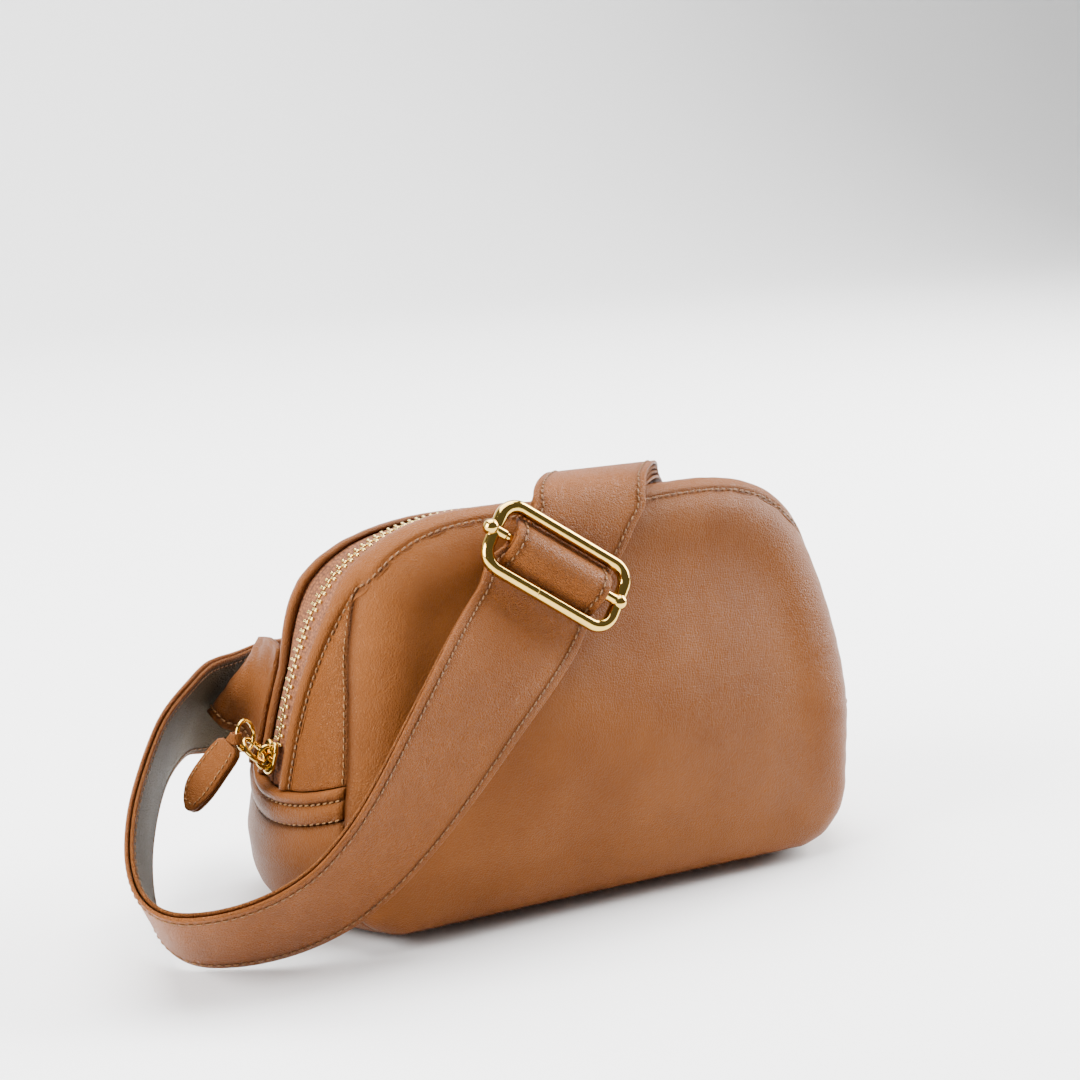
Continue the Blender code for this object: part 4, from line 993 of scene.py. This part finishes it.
def build_pull_detail(bridge):
    place, along, across, outward = bridge
    direction = unit(outward * 0.85 + along * 0.5)
    across = unit(across * cos(0.6) - np.cross(direction, across) * sin(0.6))
    centre = place + direction * (LINK_LONG - 0.4)
    path = oval_path(centre, direction, across, LINK_LONG, LINK_WIDE, 0.85)
    rod("pull_link_bar", path, 0.85, ["pull_link"], np.cross(direction, across), 14, True, "zip_pull_link")
    tip = centre + direction * LINK_LONG
    ring_normal = unit(PULL_RING_FACING)
    lean = np.array(RING_LEAN)
    outer = unit(lean - ring_normal * np.dot(lean, ring_normal))
    upper = np.cross(ring_normal, outer)
    ring_centre = tip - direction * 1.4 + outer * (TAB_RING - 1.5)
    path = oval_path(ring_centre, outer, upper, TAB_RING, TAB_RING * 0.86, 1.0)
    rod("pull_ring_wire", path, 0.62, ["pull_ring"], ring_normal, 14, True, "zip_pull_tab")
    hang = unit(LEAF_HANG)
    spoke = unit(outer * 0.55 + unit(hang - ring_normal * np.dot(hang, ring_normal)) * 0.6)
    hold = ring_centre + spoke * TAB_RING
    tangent = np.cross(ring_normal, spoke)
    facing = np.array(LEAF_FACING)
    face = unit(facing - hang * np.dot(facing, hang))
    wide = np.cross(face, hang)
    tangent = tangent * np.sign(np.dot(wide, tangent))
    top = hold + hang * 3.4
    shape = np.array([(-1.2, 3.0, 0.0), (0.0, 4.3, 0.0), (2.5, 4.9, 0.0), (7.5, 5.2, 0.0), (12.5, 5.3, 0.2),
                      (16.5, 4.9, 0.5), (19.6, 3.8, 1.1), (21.6, 2.5, 1.7), (22.8, 0.9, 2.1)])
    fine = spline(shape, 48)
    turn = np.linspace(0.0, 2.0 * pi, 28, endpoint=False)
    runs = []
    for word, low, high in (("front", 0.12, 1.85), ("back", -1.85, -0.12)):
        rows = []
        for down, half, skew in fine:
            row = []
            for t in turn:
                c = copysign(abs(cos(t)) ** 0.3, cos(t))
                s = copysign(abs(sin(t)) ** 0.75, sin(t))
                crown = 0.32 * (1.0 - c * c)
                level = (low + high + s * (high - low)) / 2.0 + copysign(crown, high) * (s * high > 0.0)
                row.append(top + hang * down + wide * (half * c + skew) + face * level)
            rows.append(row)
        shape = swept(np.array(rows))
        piece("pull_tab_leather_" + word, *shape, TAN, ["pull_tab_" + word], body="zip_pull_tab")
    for sign, level in ((1.0, 1.95), (-1.0, -1.95)):
        loop = []
        for side in (1.0, -1.0):
            part = [top + hang * d + wide * (side * (h - 1.5) + s) + face * level
                    for d, h, s in fine if h > 3.0 and d > 0.4]
            loop += part if side > 0.0 else part[::-1]
        loop = np.array(loop)
        runs.append((loop, np.tile(face * sign, (len(loop), 1)), {"pitch": 2.0, "long": 0.72, "thick": 0.2}))
    stitches("pull_tab_thread", runs, body="zip_pull_tab")
    drop = unit(hang - tangent * np.dot(hang, tangent))
    aside = np.cross(tangent, drop)
    aside = aside * np.sign(np.dot(aside, face))
    loop = [hold - drop * 1.65 * sin(t) + aside * 1.65 * cos(t)
            for t in np.linspace(-0.3 * pi, 1.3 * pi, 25)]
    loop = [hold + hang * 3.2 + face * 0.8] + loop + [hold + hang * 3.2 - face * 0.8]
    rulings = [tangent + 2.0 * wide] + [tangent] * 25 + [tangent + 2.0 * wide]
    fine = spline(np.c_[np.array(loop), unit(rulings)], 60)
    section = edge_round(5, -0.5, 0.5, 3.6, 0.45)
    band("pull_tab_fold", fine[:, :3], fine[:, 3:], section, TAN, ["pull_tab_neck"], body="zip_pull_tab")


# Wings.


def fine_rows(middle, rows, columns):
    """Finer grid through a coarse one."""
    flat = middle.reshape(len(middle), -1)
    flat = np.stack([resample(flat[:, k], rows) for k in range(flat.shape[1])], axis=1)
    grid = flat.reshape(rows, middle.shape[1], 3).transpose(1, 0, 2).reshape(middle.shape[1], -1)
    grid = np.stack([resample(grid[:, k], columns) for k in range(grid.shape[1])], axis=1)
    return grid.reshape(columns, rows, 3).transpose(1, 0, 2)


def resample(values, count):
    at = np.linspace(0.0, len(values) - 1.0, count)
    index = np.clip(at.astype(int), 0, len(values) - 2)
    slope = np.gradient(values)
    return hermite(at - index, values[index], values[index + 1], slope[index], slope[index + 1])


def build_wing_leather():
    runs = []
    for word, side in SIDES:
        middle = fine_rows(wing_rows(side), 96, 44)
        normal = unit(np.cross(np.gradient(middle, axis=1), np.gradient(middle, axis=0)))
        along = np.linspace(0.0, 1.0, 96)[:, None]
        rise = np.linspace(0.0, 1.0, 44)[None, :]
        crinkle = np.sin(along * 44.0 + 3.0 * np.sin(rise * 5.0 + along * 9.0)) * 0.14
        crinkle = crinkle + ripple(middle, 13.0, 0.3, 51)
        fade = np.clip(rise / 0.1, 0.0, 1.0) * np.clip(along / 0.1, 0.0, 1.0)
        bead = 0.35 * bell(rise, 0.0, 0.035) - 0.25 * bell(rise, 0.075, 0.02)
        half = WING_THICK / 2.0
        lift = (crinkle * fade + bead * np.ones_like(along))[..., None]
        sheet = plate(middle + normal * (half + lift), middle - normal * (half - lift * 0.5))
        # Painted shade in the groove beside the bead along the wing's edge.
        shade = 0.7 * bell(rise, 0.075, 0.018) * np.ones_like(along)
        shade = np.r_[shade.ravel(), shade.ravel()]
        piece("wing_leather_" + word, *sheet, CRINKLED, ["wing_" + word], shade)
        for sign in (1.0, -1.0):
            out = normal[:, 3] * sign
            runs.append((middle[:, 3] + out * (half + 0.05), out, {}))
    stitches("wing_thread", runs)


# Strap.


def strap_profiles():
    half = STRAP_THICK / 2.0
    line = STRAP_WIDTH / 2.0 - 2.9
    outer = edge_round(17, half - PLY, half, STRAP_WIDTH, 0.62, dips=(-line, line), depth=0.22)
    backing = edge_round(17, -half + PLY, -half, STRAP_WIDTH - 0.6, 0.62, dips=(-line, line), depth=-0.18)
    return outer, backing, line


def strap_edge_line(centres, rulings, across, height):
    wide, normal = strip_axes(centres, rulings)
    return centres + wide * across + normal * height, normal * np.sign(height)


def eased(rows, window):
    """Rows with each one averaged over its neighbours; the ends stay."""
    half = window // 2
    out = rows.copy()
    for i in range(1, len(rows) - 1):
        k = min(i, len(rows) - 1 - i, half)
        out[i] = rows[i - k:i + k + 1].mean(axis=0)
    return out


def build_strap_leather():
    outer, backing, line = strap_profiles()
    half = STRAP_THICK / 2.0
    rows = np.array(strap_stations() + over_the_top())
    full = eased(spline(rows, 520), 9)
    centres, rulings = full[:, :3], unit(eased(full[:, 3:], 41))
    band("strap_leather_long", centres, rulings, outer, STRAP, ["strap_outer_ply"])
    band("strap_backing_long", centres, rulings, backing, BACKING, ["strap_backing_ply"])
    runs = []
    for at in (-line, line):
        runs.append((*strap_edge_line(centres, rulings, at, half - 0.18), {}))
        runs.append((*strap_edge_line(centres, rulings, at, -half + 0.15), {"thick": 0.22}))
    begin = int(np.argmin(np.linalg.norm(centres - over_the_top()[7][:3], axis=1)))
    part = spline(np.c_[centres, rulings][begin:], 200)
    under = part[:, :3] - strip_axes(part[:, :3], part[:, 3:])[1] * (STRAP_THICK + 0.4)
    turned = unit(part[:, 3:])
    flip = [1.0, -1.0, 1.0]
    band("strap_leather_return", under, turned, outer * flip, STRAP, ["strap_return_outer_ply"])
    band("strap_backing_return", under, turned, backing * flip, BACKING, ["strap_return_backing_ply"])
    runs += [(*strap_edge_line(under, turned, at, -half + 0.18), {}) for at in (-line, line)]
    stitches("strap_thread", runs, DARK_THREAD)


def build_buckle_detail():
    centre, long, up, normal = buckle_axes()
    path = rounded_path(centre, long, up, BUCKLE_HALF_LONG, BUCKLE_HALF_SHORT, BUCKLE_CORNER, 14)
    joint = centre - up * BUCKLE_HALF_SHORT - long * 3.0
    steps = (-8.0, -0.6, -0.3, -0.16, 0.0, 0.16, 0.3, 0.6, 10.0)
    path[3 * 14:3 * 14] = [joint + long * step for step in steps]
    radius = np.full(len(path), BUCKLE_BAR)
    radius[3 * 14 + 4] = BUCKLE_BAR - 0.25
    rod("buckle_ring", path, radius, ["buckle_frame"], normal, 28, True, "buckle")
    ball = BUCKLE_HALF_LONG + 1.1
    reach = ball + 2.6
    share = np.sin(np.linspace(-pi / 2.0, pi / 2.0, 241))
    bulge = np.abs(share) * reach
    radius = np.where(bulge < BUCKLE_HALF_LONG - 1.0, CENTRE_BAR, 0.0)
    radius = np.maximum(radius, 2.6 * np.sqrt(np.clip(1.0 - ((bulge - ball) / 2.55) ** 2, 0.0, 1.0)))
    radius = np.maximum(radius, 1.75 * (np.abs(bulge - BUCKLE_HALF_LONG + 2.6) < 1.8))
    radius = np.maximum(radius, 0.05)
    raised = centre + normal * 0.7 - long * 0.8
    line = raised + np.outer(share * reach, long)
    rod("buckle_bar", line, radius, ["buckle_centre_bar"], normal, 28, body="buckle")
    inside = 36.0
    turn = np.linspace(-0.42 * pi, 1.42 * pi, 33)
    loop = centre + 2.15 * (np.outer(np.cos(turn), up) + np.outer(np.sin(turn), normal))
    band("strap_end_roll", loop, np.tile(long, (33, 1)), edge_round(5, -0.5, 0.5, inside, 0.45), STRAP,
         ["strap_end_sleeve"], body="buckle")
    profile = [(-9.2, -3.0), (-8.0, -2.35), (-6.5, -0.9), (-5.0, 1.1), (-3.4, 2.8), (-1.7, 3.9), (0.0, 4.3),
               (1.7, 4.15), (3.4, 3.3), (5.0, 1.6), (6.4, -0.5), (7.5, -1.8), (8.2, -2.3)]
    hump = spline(np.array([centre + up * v + normal * n for v, n in profile]), 90)
    line = inside / 2.0 - 2.7
    section = edge_round(15, -0.9, 0.95, inside, 0.8, dips=(-line, line), depth=0.25)
    rulings = np.tile(-long, (90, 1))
    band("strap_end_leather", hump, rulings, section, STRAP, ["strap_bridge"], body="buckle")
    runs = [(*strap_edge_line(hump[6:-6], rulings[6:-6], at, 0.8), {}) for at in (-line, line)]
    stitches("strap_end_thread", runs, DARK_THREAD, body="buckle")


def build_ring_detail():
    centre = np.array(RING_CENTRE)
    pull = unit(RING_PULL)
    bars = np.array([-pull[2], 0.0, pull[0]])
    depth = np.array([0.0, 1.0, 0.0])
    path = rounded_path(centre, pull, bars, RING_HALF_X, RING_HALF_Z, 3.0, 12)
    rod("back_ring", path, RING_BAR, ["strap_ring"], depth, 18, True)
    reach = RING_BAR + 0.4 + PLY / 2.0
    runs = []
    for name, side, width, hides in (("strap_turn", -1.0, STRAP_WIDTH, "strap_ring_loop"),
                                     ("wing_turn", 1.0, 34.5, "wing_ring_loop")):
        bar = centre + pull * side * RING_HALF_X
        tail = bar + pull * side * 4.6
        loop = [tail - depth * 1.3]
        for t in np.linspace(-0.5 * pi, 0.5 * pi, 25):
            loop.append(bar - pull * side * reach * cos(t) + depth * reach * sin(t))
        loop.append(tail + depth * 1.3)
        fine = spline(np.array(loop), 70)
        rulings = np.tile(bars, (70, 1))
        band(name, fine, rulings, edge_round(9, -PLY / 2.0, PLY / 2.0, width, 0.5), STRAP, [hides],
             slot="tan_leather")
        across = np.linspace(-width / 2.0 + 2.0, width / 2.0 - 2.0, 30)
        line = bar + pull * side * 3.4 + depth * 2.2 + np.outer(across, bars)
        runs.append((line, np.tile(depth, (30, 1)), {}))
    stitches("ring_thread", runs)


# Stage.


def build_stage():
    floor_mat, _, _ = shader("stage_floor", (0.93, 0.93, 0.93), 0.0, 0.7)
    turn = np.linspace(0.0, pi / 2.0, 16)
    line = [(-0.9, 0.0)] + [(1.4 + 0.8 * sin(t), 0.8 - 0.8 * cos(t)) for t in turn] + [(2.2, 3.0)]
    verts = [(x, y, z) for y, z in line for x in (-3.5, 3.5)]
    faces = [(2 * i, 2 * i + 1, 2 * i + 3, 2 * i + 2) for i in range(len(line) - 1)]
    mesh = bpy.data.meshes.new("stage_floor")
    mesh.from_pydata(verts, [], faces)
    mesh.polygons.foreach_set("use_smooth", [True] * len(mesh.polygons))
    mesh.materials.append(floor_mat)
    placed("stage_floor", mesh)
    world = bpy.data.worlds.new("studio")
    bpy.context.scene.world = world
    world.use_nodes = True
    sky = world.node_tree.nodes["Background"].inputs
    sky["Color"].default_value = (1.0, 1.0, 1.0, 1.0)
    sky["Strength"].default_value = WORLD_LIGHT
    for name, place, power, size in LAMPS:
        lamp = bpy.data.lights.new(name, "AREA")
        lamp.energy = power
        lamp.shape = "RECTANGLE"
        lamp.size, lamp.size_y = size
        aimed(placed(name, lamp), place, Vector((0.0, 0.0, 0.06)) - Vector(place))


def build_camera():
    data = bpy.data.cameras.new("camera")
    data.sensor_width = 36.0
    data.lens = CAMERA_LENS
    turn, dip = CAMERA_TURN
    camera = placed("camera", data)
    aimed(camera, CAMERA_PLACE, (sin(turn) * cos(dip), cos(turn) * cos(dip), -sin(dip)))
    bpy.context.scene.camera = camera


def main():
    build_camera()
    build_stage()
    build_face("front_leather", -1.0, FRONT_DOME, ["front_panel"], 240)
    build_face("back_leather", 1.0, BACK_DOME, ["back_panel"], 180)
    build_base()
    build_bands()
    build_wedges()
    build_strips()
    build_zip()
    build_pull_detail(build_slider_detail())
    build_wing_leather()
    build_strap_leather()
    build_buckle_detail()
    build_ring_detail()
    for name in ("lining_front", "lining_back", "inner_pocket", "base_board"):
        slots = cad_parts[name].data.materials
        slots.clear()
        slots.append(CARD if name == "base_board" else INSIDE)


main()
